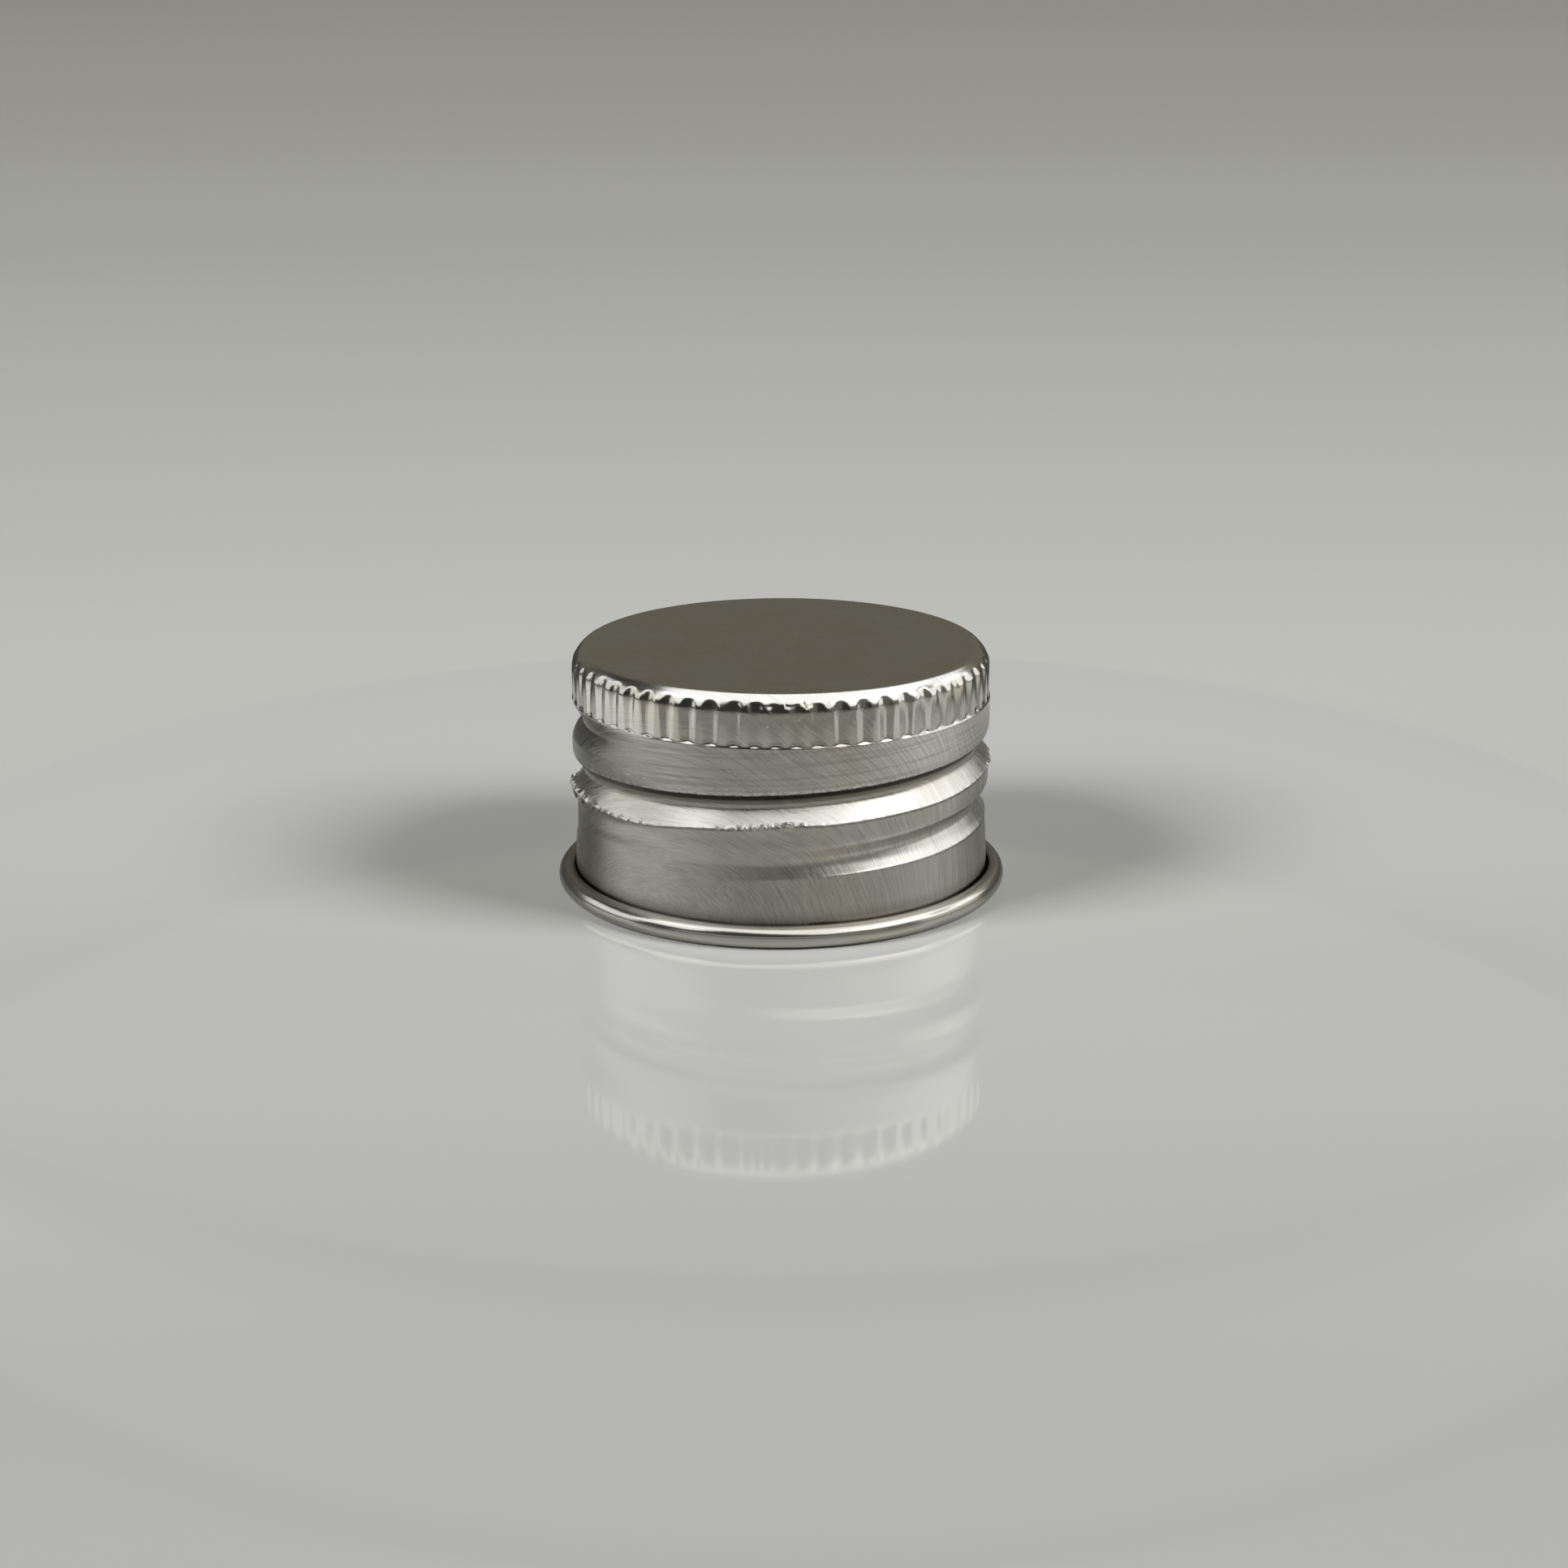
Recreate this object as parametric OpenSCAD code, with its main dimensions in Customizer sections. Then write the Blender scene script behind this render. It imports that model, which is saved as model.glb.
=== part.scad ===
// Screw cap rolled from one disc of aluminium sheet, with a sealing liner.
// Millimetres. The cap stands mouth down: the mouth's curl is on z = 0 and the
// axis of the cap is the z axis. The middle of the thread's lower end faces -y.

/* [Shell] */
// Diameter over the ribs of the grip band, from which the wall takes its own
grip_d = 24.5; // [22:0.1:40]
// Height from the mouth to the top face
cap_h = 14.45; // [13.5:0.05:18]
// Thickness of the sheet
sheet_t = 0.25; // [0.2:0.01:0.3]
// Outside radius of the shoulder, between the top face and the wall
shoulder_r = 0.8; // [0.5:0.05:1.2]

/* [Grip band] */
// Number of pressed flutes round the grip band
flute_count = 57; // [40:1:64]
// Depth of a flute below the ribs
flute_depth = 0.13; // [0.08:0.01:0.16]
// Width of a flute across its mouth
flute_w = 0.95; // [0.7:0.01:1.05]
// Height of the grip band, from the flutes' lower ends to the top face
grip_h = 2.9; // [2.2:0.05:3.2]

/* [Thread] */
// How far the wall between the turns stands out past the ribs of the grip band
land_step = 0.05; // [0.02:0.01:0.2]
// Rise of the thread in one turn
thread_pitch = 3.175; // [3.1:0.005:3.3]
// Depth of the rolled groove below the land
thread_depth = 0.72; // [0.4:0.01:0.8]
// Turns of the groove, with its run-outs
thread_turns = 1.94; // [1:0.02:2]
// Angle over which the groove fades out at each end
run_out = 60; // [30:5:90]
// Height of the groove's root over its sloping lower flank's foot
lower_flank_h = 0.95; // [0.85:0.05:1]
// Height of the steep upper flank
upper_flank_h = 0.7; // [0.6:0.05:0.8]
// Width of the flat root
root_w = 0.3; // [0.2:0.05:0.35]
// Distance from the flutes' lower ends to the root at the groove's upper end
thread_drop = 0.7; // [0.5:0.05:1]
// Direction in which the groove ends at its upper end, from the front
thread_end_angle = -35; // [-90:5:0]

/* [Skirt] */
// How far the wall draws in inside the ribs, below the thread
waist_step = 0.17; // [0.05:0.01:0.3]
// Height of the waist over the mouth
waist_z = 4.6; // [3.6:0.1:4.8]
// Height over the mouth at which the wall is as wide as the land
land_z = 6; // [5.6:0.1:6.4]
// How far the skirt over the curl lies inside the ribs
skirt_step = 0.05; // [0:0.01:0.2]
// Height over the mouth at which the skirt reaches its full diameter
skirt_z = 1.9; // [1.7:0.1:2.4]

/* [Curl] */
// Diameter of the tube that the curl forms
curl_d = 1.3; // [1.1:0.05:1.6]
// Slit between the curl's cut edge and the skirt
curl_slit = 0.08; // [0.05:0.01:0.15]

/* [Liner] */
// Thickness of the liner
liner_t = 1; // [0.8:0.1:1.3]
// Gap round the liner, inside the flutes
liner_clearance = 0.1; // [0.05:0.05:0.3]

/* [Hidden] */
$fn = 120;

// Radii of the wall's outside
grip_r = grip_d / 2;
land_r = grip_r + land_step;
waist_r = grip_r - waist_step;
skirt_r = grip_r - skirt_step;

// The curl is a tube that starts as the skirt's own sheet
curl_r = curl_d / 2;
curl_x = skirt_r - sheet_t + curl_r;
curl_edge_x = skirt_r + curl_slit;
curl_edge_angle = acos((curl_edge_x - curl_x) / curl_r);

// The ledge where the plain wall starts, under the grip band
grip_z = cap_h - grip_h;
ledge_h = 0.05;

// A flute is a round-bottomed scoop: a vertical cylinder set into the wall.
// The rod that carries the flutes is wider and longer than the band by spare.
flute_r = (pow(flute_w / 2, 2) + pow(flute_depth, 2)) / (2 * flute_depth);
flute_x = grip_r - flute_depth + flute_r;
flute_pitch = 360 / flute_count;
// Direction of the first rib left of the front
rib_angle = -9.4;
front = -90;
spare = 0.1;

// Groove path: angles are from the front, counter-clockwise from above
groove_end = thread_end_angle + 360;
groove_start = groove_end - 360 * thread_turns;
groove_end_z = grip_z - thread_drop;
path_step = 6;
path_steps = ceil((groove_end - groove_start) / path_step);
// Least share of its depth that the groove has where it starts
fade_floor = 0.04;
// The cutter reaches this far outside the land
cutter_reach = 0.15;
// Depth of the groove at the top of the steep flank, where the land rounds in
brow_depth = 0.12;
brow_h = 0.7;

// Wall from the land down to the curl: [radius outside, height]
WALL = [
    [land_r, land_z],
    [waist_r, waist_z],
    [skirt_r, skirt_z],
    [skirt_r, curl_r],
];

// Height and depth below the land of the groove's outline, from its root
GROOVE = [
    [-lower_flank_h - root_w / 2 - cutter_reach, -cutter_reach],
    [-root_w / 2, thread_depth],
    [root_w / 2, thread_depth],
    [root_w / 2 + upper_flank_h, brow_depth],
    [root_w / 2 + upper_flank_h + brow_h, -cutter_reach],
];

// The same outline on the inside of the sheet, where the groove is a ridge. It stands
// on the middle of the sheet, from foot_low to foot_high, which its back follows.
ridge_crest_w = root_w + sheet_t;
foot_low = -lower_flank_h - root_w / 2 - sheet_t / 2;
foot_high = ridge_crest_w / 2 + upper_flank_h + brow_h / 2;
back_steps = 4;
RIDGE = [
    [-ridge_crest_w / 2, thread_depth + sheet_t],
    [ridge_crest_w / 2, thread_depth + sheet_t],
    [ridge_crest_w / 2 + upper_flank_h, brow_depth + sheet_t],
];

liner_r = grip_r - flute_depth - sheet_t - liner_clearance;
liner_top = cap_h - sheet_t;

module shell() {
    color("silver") difference() {
        union() {
            plain_cap();
            thread_ridge();
        }
        thread_groove();
    }
}

module liner() {
    color("white") rotate_extrude() liner_section();
}

// The cap with its flutes and curl, before the thread is rolled in
module plain_cap() {
    difference() {
        cap_form(0);
        cap_form(sheet_t);
    }
    rotate_extrude() curl();
}

// Solid form of the outside of the sheet, or of its inside at an inset of its thickness
module cap_form(inset) {
    rotate_extrude() wall_section(inset);
    intersection() {
        rotate_extrude() top_section(inset);
        fluted_rod(inset);
    }
}

// Filled half section under the grip band
module wall_section(inset) {
    polygon(concat(wall_line(inset), [[0, curl_r], [0, grip_z - inset]]));
}

// Wall from the grip band down to the curl: [radius, height]
function wall_line(inset) =
    let (ledge = [[grip_r, grip_z - inset], [land_r, grip_z - ledge_h - inset]])
    [for (p = concat(ledge, WALL)) p - [inset, 0]];

// Filled half section from the foot of the grip band to the top face
module top_section(inset) {
    band_h = grip_h - shoulder_r + inset;
    translate([0, grip_z - inset]) square([grip_r - inset, band_h]);
    translate([0, cap_h - shoulder_r]) rounded_section(grip_r - inset, shoulder_r - inset);
}

// Filled half section of a plate of height edge_r with its upper edge rounded
module rounded_section(r, edge_r) {
    square([r - edge_r, edge_r]);
    translate([r - edge_r, 0]) intersection() {
        circle(edge_r);
        square(edge_r);
    }
}

// The flutes run up through the shoulder, where each ends in an arch
module fluted_rod(inset) {
    translate([0, 0, grip_z - inset - spare])
        linear_extrude(grip_h + 2 * spare)
            difference() {
                circle(grip_r - inset + spare);
                for (i = [0:flute_count - 1])
                    rotate(front + rib_angle + (i + 0.5) * flute_pitch)
                        translate([flute_x, 0]) circle(flute_r + inset);
            }
}

// The edge of the sheet, rolled outward and up until it nearly meets the skirt
module curl() {
    translate([curl_x, curl_r]) difference() {
        ring(curl_r);
        polygon(curl_gap());
    }
}

// Wedge that is left out of the curl, from its cut edge round to the skirt
function curl_gap() =
    let (far = 2 * curl_r)
    [
        [0, 0],
        far * [cos(curl_edge_angle), sin(curl_edge_angle)],
        far * [-1, 1],
        [-far, 0],
    ];

module ring(outer_r) {
    difference() {
        circle(outer_r);
        circle(outer_r - sheet_t);
    }
}

// Foam disc with its upper edge rounded to lie in the shoulder
module liner_section() {
    translate([0, liner_top - liner_t]) square([liner_r, liner_t - shoulder_r]);
    translate([0, liner_top - shoulder_r]) rounded_section(liner_r, shoulder_r);
}

module thread_groove() {
    sweep([for (i = [0:path_steps]) groove_ring(i)]);
}

module thread_ridge() {
    sweep([for (i = [0:path_steps]) ridge_ring(i)]);
}

function path_angle(i) = groove_start + (groove_end - groove_start) * i / path_steps;
function path_z(i) = groove_end_z - (groove_end - path_angle(i)) * thread_pitch / 360;

// Share of the full depth: a smooth rise from each end over the run-out
function fade(i) =
    let (a = path_angle(i))
    let (u = min(1, (a - groove_start) / run_out, (groove_end - a) / run_out))
    fade_floor + (1 - fade_floor) * u * u * (3 - 2 * u);

// Radius of the middle of the sheet at a height. In the grip band that is half way
// between the flutes' floors and the backs of the ribs.
function middle_r(z) =
    lookup(z, [
        [grip_z - sheet_t / 2, grip_r - (flute_depth + sheet_t) / 2],
        [grip_z - ledge_h - sheet_t, land_r - sheet_t / 2],
        for (p = WALL) [p[1], p[0] - sheet_t / 2],
    ]);

function spot(r, angle, z) = [r * cos(front + angle), r * sin(front + angle), z];

function groove_ring(i) =
    [
        for (p = GROOVE)
            let (depth = p[1] < 0 ? p[1] : p[1] * fade(i) - cutter_reach * (1 - fade(i)))
            spot(land_r - depth, path_angle(i), path_z(i) + p[0])
    ];

// The ridge rises from the middle of the sheet to one thickness below the root
function ridge_ring(i) =
    let (crest = [
        for (p = RIDGE)
            let (foot = middle_r(path_z(i) + p[0]))
            [foot + (land_r - p[1] - foot) * fade(i), path_z(i) + p[0]]
    ])
    let (back = [
        for (k = [0:back_steps])
            let (z = path_z(i) + foot_high + (foot_low - foot_high) * k / back_steps)
            [middle_r(z), z]
    ])
    [for (p = concat(crest, back)) spot(p[0], path_angle(i), p[1])];

// Skin over a row of rings that have the same number of points
module sweep(rings) {
    n = len(rings[0]);
    last = len(rings) - 1;
    sides = [
        for (i = [0:last - 1], j = [0:n - 1])
            let (a = i * n + j, b = i * n + (j + 1) % n)
            each [[a, a + n, b], [b, a + n, b + n]]
    ];
    first_cap = [for (j = [0:n - 1]) j];
    last_cap = [for (j = [n:-1:1]) last * n + j % n];
    polyhedron([for (r = rings) each r], concat(sides, [first_cap, last_cap]));
}

shell();
liner();
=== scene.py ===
"""A rolled aluminium screw cap with its foam liner, standing mouth down in a small studio.

The cap's shell is one sheet: a flat top, a shoulder, a fluted grip band, a wall with a rolled
thread, a plain skirt and an outward curl at the mouth. It is built in millimetres, with azimuths in
degrees from the front (-Y), counter-clockwise from above, and made metres at the end.
"""

import logging
import math
from collections.abc import Callable, Iterable, Sequence
from dataclasses import dataclass
from enum import Enum

import bmesh
import bpy
from mathutils import Matrix, Vector, noise


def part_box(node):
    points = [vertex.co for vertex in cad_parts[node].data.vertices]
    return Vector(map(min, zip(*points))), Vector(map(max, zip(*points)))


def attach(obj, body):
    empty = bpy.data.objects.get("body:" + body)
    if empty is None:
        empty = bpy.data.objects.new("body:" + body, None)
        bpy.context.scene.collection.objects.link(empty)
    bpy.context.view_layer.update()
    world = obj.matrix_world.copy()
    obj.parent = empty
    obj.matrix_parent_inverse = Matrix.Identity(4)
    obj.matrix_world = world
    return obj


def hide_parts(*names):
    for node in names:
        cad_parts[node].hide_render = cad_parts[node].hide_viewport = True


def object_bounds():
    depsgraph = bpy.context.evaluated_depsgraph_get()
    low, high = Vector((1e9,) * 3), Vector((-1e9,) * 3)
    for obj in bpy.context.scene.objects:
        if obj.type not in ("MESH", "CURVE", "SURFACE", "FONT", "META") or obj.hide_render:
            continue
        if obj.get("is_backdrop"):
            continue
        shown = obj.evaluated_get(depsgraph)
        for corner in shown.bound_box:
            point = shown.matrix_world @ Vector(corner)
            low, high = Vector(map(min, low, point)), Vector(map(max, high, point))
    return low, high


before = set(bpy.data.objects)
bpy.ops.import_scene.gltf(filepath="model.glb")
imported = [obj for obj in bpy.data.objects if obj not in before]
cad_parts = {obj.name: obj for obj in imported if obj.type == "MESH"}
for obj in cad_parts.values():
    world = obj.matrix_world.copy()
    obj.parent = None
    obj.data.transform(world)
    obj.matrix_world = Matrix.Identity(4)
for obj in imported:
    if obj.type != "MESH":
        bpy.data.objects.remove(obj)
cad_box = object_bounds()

log = logging.getLogger("screw_cap")

Colour = tuple[float, float, float, float]
Table = tuple[tuple[float, float], ...]

MM = 0.001
TURN = 360
BLACK: Colour = (0, 0, 0, 1)
# A Mix node's sockets for colours: the share, the first and the second colour, and what comes out
MIX_INPUTS = (0, 6, 7)
MIX_OUTPUT = 2
BODY = "root"


class Slot(Enum):
    """The material slots' names."""

    ALUMINIUM = "brushed_aluminium"
    FOAM = "liner_foam"


# ---------------------------------------------------------------- small sums


def clamp(value: float, low: float = 0.0, high: float = 1.0) -> float:
    """Returns the value held between low and high."""
    return max(low, min(high, value))


def ease(share: float) -> float:
    """Returns a share from 0 to 1 with a smooth start and end."""
    t = clamp(share)
    return t * t * (3 - 2 * t)


def blend(first: float, second: float, share: float) -> float:
    """Returns first at a share of 0 and second at 1."""
    return first + (second - first) * share


def along(table: Sequence[tuple[float, float]], place: float) -> float:
    """Reads a table of (place, value) with straight lines between its points.

    Args:
        table: Points in rising order of place.
        place: Where to read it.

    Returns:
        The value there, held at both ends.
    """
    if place <= table[0][0]:
        return table[0][1]
    for (a, first), (b, second) in zip(table, table[1:]):
        if place <= b:
            return blend(first, second, (place - a) / (b - a))
    return table[-1][1]


def on_ring(azimuth: float, radius: float, height: float) -> Vector:
    """Returns the point at an azimuth in degrees, a radius and a height."""
    turn = math.radians(azimuth)
    return Vector((radius * math.sin(turn), -radius * math.cos(turn), height))


def azimuth_of(point: Vector) -> float:
    """Returns a point's azimuth, from -180 to 180 degrees."""
    return math.degrees(math.atan2(point.x, -point.y))


@dataclass(frozen=True)
class Ripple:
    """Seamless noise of about -1 to 1 on the wall, with features of one size in millimetres."""

    size: float
    seed: float

    def at(self, azimuth: float, radius: float, height: float) -> float:
        """Returns the noise at a point."""
        return noise.noise(on_ring(azimuth, radius, height) / self.size + Vector((self.seed, 0, 0)))


@dataclass(frozen=True)
class Ripples:
    """A coarse ripple with a fine one on it."""

    coarse: Ripple
    fine: Ripple
    fine_share: float = 0.5

    def at(self, azimuth: float, radius: float, height: float) -> float:
        """Returns both together at a point."""
        place = (azimuth, radius, height)
        return self.coarse.at(*place) + self.fine_share * self.fine.at(*place)


@dataclass(frozen=True)
class Stretch:
    """A stretch of the thread or the wall where something changes.

    middle and reach are in degrees of azimuth, or of the thread's own angle past one turn.
    """

    middle: float
    reach: float
    amount: float

    def at(self, angle: float) -> float:
        """Returns how much of it there is at an angle."""
        return self.amount * ease(1 - abs(angle - self.middle) / self.reach)


def total(stretches: Iterable[Stretch], angle: float) -> float:
    """Returns what several stretches add up to at an angle."""
    return sum(s.at(angle) for s in stretches)


# ---------------------------------------------------------------- forms of the sheet


@dataclass(frozen=True)
class Columns:
    """How the shell's columns of vertices are spaced round the axis.

    Every flute has the same number of columns. The rolling tool's turn didn't end on a whole
    number of flutes, so four of them are squeezed together at the seam.
    """

    flutes: int = 57
    per_flute: int = 12
    first_flute: float = -12.2
    squeezed: int = 4
    seam_end: float = 9.6

    @property
    def pitch(self) -> float:
        """Even angle from one flute to the next."""
        return TURN / self.flutes

    @property
    def count(self) -> int:
        """Columns in the outside of the shell."""
        return self.flutes * self.per_flute

    def real_azimuth(self, even: float) -> float:
        """Moves an evenly spaced azimuth to where that column lies.

        Args:
            even: Azimuth of the column, had all flutes the same width.

        Returns:
            The column's azimuth, in the same turn.
        """
        step = (even - self.first_flute) % TURN
        seam = self.squeezed * self.pitch
        width = self.seam_end - self.first_flute
        if step < seam:
            moved = step * width / seam
        else:
            moved = width + (step - seam) * (TURN - width) / (TURN - seam)
        return even + moved - step


@dataclass(frozen=True)
class TornLip:
    """The groove's lower lip, which the rolling tool tore: it has burrs, and its line is ragged."""

    # How far the lip stands out, and how far its line jumps, along the thread's own angle
    burrs: tuple[Stretch, ...] = (
        Stretch(-78, 28, 0.22), Stretch(-4, 16, 0.05), Stretch(88, 20, 0.12), Stretch(178, 40, 0.05),
    )
    ragged: tuple[Stretch, ...] = (
        Stretch(-76, 30, 0.42), Stretch(-46, 22, 0.24), Stretch(-3, 22, 0.34), Stretch(45, 40, 0.06),
    )
    # What the whole lip has of both, and how far a burr makes its line jump more
    least_burr: float = 0.018
    least_ragged: float = 0.03
    burr_ragged: float = 0.6
    # Half the height of the lip's crest, and how much of a burr adds to it
    crest: float = 0.07
    crest_gain: float = 1.3
    # A tooth's mean share of its burr, and how far the noise changes that
    tooth: float = 0.45
    tooth_gain: float = 0.9
    # How soon a burr's teeth start to differ with the height too
    depth_gain: float = 8.0
    coarse: Ripple = Ripple(0.42, 3.0)
    fine: Ripple = Ripple(0.17, 9.0)

    def push(self, spot: tuple[float, float, float], root_z: float, above: float, angle: float) -> Vector:
        """Works out how far the lip moves a point near it.

        Args:
            spot: The point's azimuth, the wall's radius and the point's height.
            root_z: Height of the groove's root there.
            above: Height of the point over the lip.
            angle: The thread's own angle there.

        Returns:
            The way out and the way up, where the lip is sharp.
        """
        azimuth, radius, z = spot
        burr = total(self.burrs, angle)
        crest = clamp(1 - abs(above) / (self.crest + self.crest_gain * burr))
        if crest == 0:
            return Vector((0, 0))
        level = blend(root_z, z, clamp(self.depth_gain * burr))
        coarse = self.coarse.at(azimuth, radius, level)
        fine = self.fine.at(azimuth, radius, level)
        tooth = clamp(self.tooth + self.tooth_gain * (coarse + fine))
        ragged = self.least_ragged + total(self.ragged, angle) + self.burr_ragged * burr
        out = burr * tooth + self.least_burr * (1 + fine)
        return Vector((crest * out, crest * ragged * (coarse + fine)))


@dataclass(frozen=True)
class Mark:
    """A mark that the mesh carries for its finish: its share at each height from the groove's root.

    The higher its power, the sooner it fades where the groove gets shallow. A mark in the slit also
    paints shade into the slit between the curl and the skirt, and into the curl's hollow.
    """

    name: str
    power: int
    shares: Table
    in_slit: bool = False


@dataclass(frozen=True)
class Groove:
    """The rolled thread: a groove along a helix, whose angle runs on past each full turn."""

    pitch: float = 3.175
    depth: float = 0.72
    start: float = -396.0
    end: float = 325.0
    end_z: float = 10.85
    run_in: float = 108.0
    run_out: float = 60.0
    # Heights from the root at which the rows of vertices lie, one pitch in all
    rows: tuple[float, ...] = (
        -1.75, -1.55, -1.38, -1.25, -1.16, -1.10, -1.05, -0.97, -0.84, -0.68, -0.52, -0.38, -0.26,
        -0.15, -0.05, 0.08, 0.17, 0.27, 0.40, 0.53, 0.66, 0.78, 0.90, 1.10, 1.26, 1.425,
    )
    lip: float = -1.10
    brow: float = 0.90
    root_foot: float = -0.15
    # Share of the depth above the root: the steep flank and the brow over it
    upper: Table = (
        (-0.15, 0.975), (-0.05, 1.0), (0.08, 1.0), (0.17, 0.95), (0.27, 0.84), (0.78, 0.22),
        (0.90, 0.12), (1.10, 0.04), (1.40, 0.0),
    )
    # Where the groove's lower lip is worn soft, it starts lower and curves in slowly
    soft_lip: float = -1.40
    soft_power: float = 1.7
    hard_from: float = -420.0
    hard_to: float = 110.0
    hard_turn: float = 60.0
    lip_wander: tuple[Stretch, ...] = (
        Stretch(-43, 24, -0.24), Stretch(1, 14, 0.16), Stretch(48, 20, -0.05), Stretch(150, 40, -0.1),
    )
    torn: TornLip = TornLip()
    # In its run-in the groove is narrower by this share, and its very tip isn't
    narrowing: float = 0.2
    narrowing_rate: float = 5.0
    # Heights from the root between which points may wander, and over how much they begin to
    wander_low: float = -1.75
    wander_low_over: float = 0.65
    wander_high: float = 2.2
    wander_high_over: float = 1.0
    # Sums that find where a point was before it wandered
    passes: int = 5
    # Painted shade in the groove and the slit, where wear leaves the groove's edges bright,
    # and a painted highlight on its lower flank
    marks: tuple[Mark, ...] = (
        # Painted shade at the groove's root and brow, under its lip, in the slit and in the curl's hollow
        Mark(
            name="hollow",
            power=4,
            shares=(
                (-1.26, 0.0), (-1.16, 0.75), (-1.10, 0.0), (-0.15, 0.0), (0.05, 0.12), (0.17, 0.30),
                (0.40, 0.50), (0.44, 1.0), (0.78, 1.0), (0.90, 0.0),
            ),
            in_slit=True,
        ),
        Mark(
            name="edge",
            power=2,
            shares=(
                (-1.16, 0.0), (-1.10, 0.8), (-1.05, 0.3), (-0.97, 0.0), (0.78, 0.0), (0.90, 0.9),
                (1.10, 0.0),
            ),
        ),
        # Painted highlight: the groove's lower flank is painted brighter
        Mark(
            name="flank",
            power=1,
            shares=((-1.12, 0.0), (-1.05, 0.45), (-0.40, 0.35), (-0.15, 0.0)),
        ),
    )

    def root_z(self, angle: float) -> float:
        """Returns the height of the groove's root at its own angle."""
        return self.end_z + (angle - self.end) * self.pitch / TURN

    def turns(self, azimuth: float) -> list[float]:
        """Returns the groove's own angles that pass an azimuth."""
        angles = (azimuth + turn for turn in (-TURN, 0, TURN))
        return [a for a in angles if self.start < a < self.end]

    def presence(self, angle: float) -> float:
        """Returns the share of its depth that the groove has at its own angle."""
        return ease((angle - self.start) / self.run_in) * ease((self.end - angle) / self.run_out)

    def hardness(self, angle: float) -> float:
        """Returns how sharp the lower lip is at an angle of the groove, from 0 to 1."""
        begun = ease((angle - self.hard_from) / self.hard_turn)
        return begun * ease((self.hard_to - angle) / self.hard_turn + 1)

    def wander(self, offset: float, angle: float) -> float:
        """Works out how far a point is lifted: the lip wanders, and a shallow groove is a narrow one.

        Args:
            offset: Height of the point from the root.
            angle: The groove's own angle there.

        Returns:
            The way up.
        """
        begun = ease((angle - self.start) / self.run_in)
        narrow = self.narrowing * (1 - begun) * min(1, self.narrowing_rate * begun)
        if offset >= self.root_foot:
            span = self.brow - self.root_foot
            fading = (self.wander_high - offset) / self.wander_high_over
            return -narrow * span * clamp(min((offset - self.root_foot) / span, fading))
        span = self.root_foot - self.lip
        fading = (offset - self.wander_low) / self.wander_low_over
        lift = self.presence(angle) * total(self.lip_wander, angle) + narrow * span
        return lift * clamp(min((self.root_foot - offset) / span, fading))

    def even_offset(self, z: float, angle: float) -> float:
        """Works out a finished point's height from the root, had it not wandered.

        Args:
            z: Height of the point.
            angle: The groove's own angle there.

        Returns:
            The height from the root.
        """
        offset = z - self.root_z(angle)
        for _ in range(self.passes):
            offset = z - self.root_z(angle) - self.wander(offset, angle)
        return offset

    def share(self, offset: float, angle: float) -> float:
        """Works out the share of the full depth at a place of the groove.

        Args:
            offset: Height from the root.
            angle: The groove's own angle there.

        Returns:
            The share, from 0 to 1.
        """
        if offset >= self.root_foot:
            return along(self.upper, offset)
        full = self.upper[0][1]
        hard = clamp((offset - self.lip) / (self.root_foot - self.lip))
        soft = clamp((offset - self.soft_lip) / (self.root_foot - self.soft_lip)) ** self.soft_power
        return full * blend(soft, hard, self.hardness(angle))


@dataclass(frozen=True)
class GripBand:
    """The pressed flutes of the grip band: scoops that lean in towards the top, in millimetres."""

    # How deep a flute's middle lies under the ribs at each height
    floor: Table = (
        (11.52, -0.04), (11.56, 0.03), (11.62, 0.08), (11.70, 0.098), (12.7, 0.115), (13.1, 0.130),
        (13.4, 0.152), (13.6, 0.182), (13.75, 0.220), (13.95, 0.286), (14.12, 0.330), (14.45, 0.335),
    )
    # How far the scoop would rise from its flat middle to the crest, past the rib's own middle
    rise: float = 0.225
    flat: float = 0.10
    crest: float = 1.05
    half_pitch: float = 0.675
    # How far the ribs' and the arches' edges are rounded
    edge: float = 0.022
    # The ribs draw in a little under the shoulder, and no more at the top
    lean: float = 0.03
    lean_from: float = 13.05
    lean_to: float = 13.9
    lean_end: float = 0.35
    # Where the columns of one flute lie across it, from its middle to the next one's
    stops: tuple[float, ...] = (
        0, 0.20, 0.36, 0.48, 0.56, 0.625, 0.675, 0.725, 0.79, 0.87, 0.99, 1.15, 1.35,
    )
    # How much the flutes differ in depth, and the noise that says which
    uneven: float = 0.12
    uneven_row: float = 3.1

    def across(self, step: float) -> float:
        """Returns a column's share of the way from one flute's middle to the next, from its even share."""
        last = len(self.stops) - 1
        return along([(k / last, stop / self.stops[-1]) for k, stop in enumerate(self.stops)], step)

    def rib_depth(self, z: float, top_z: float) -> float:
        """Returns how far the ribs themselves have drawn in at a height."""
        drawn = ease((z - self.lean_from) / (self.lean_to - self.lean_from))
        return self.lean * drawn * ease((top_z - z) / self.lean_end)

    def shallow(self, middle: float) -> float:
        """Returns the share of its depth that the flute at an azimuth lacks."""
        return self.uneven * abs(noise.noise(Vector((middle, self.uneven_row, 0))))

    def press(self, across: float, z: float, under: float, wear: float) -> float:
        """Works out how deep the wall is pressed in.

        Args:
            across: Distance from the flute's middle along the wall.
            z: Height.
            under: How far the ribs or the shoulder lie inside the ribs' full radius at that height.
            wear: Share of the depth that this flute has.

        Returns:
            The depth below the ribs or the shoulder.
        """
        aside = abs(across) / self.half_pitch
        climb = self.rise * ease((aside - self.flat) / (self.crest - self.flat))
        proud = wear * (along(self.floor, z) - climb) - under
        return (proud + math.hypot(proud, self.edge)) / 2


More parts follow.
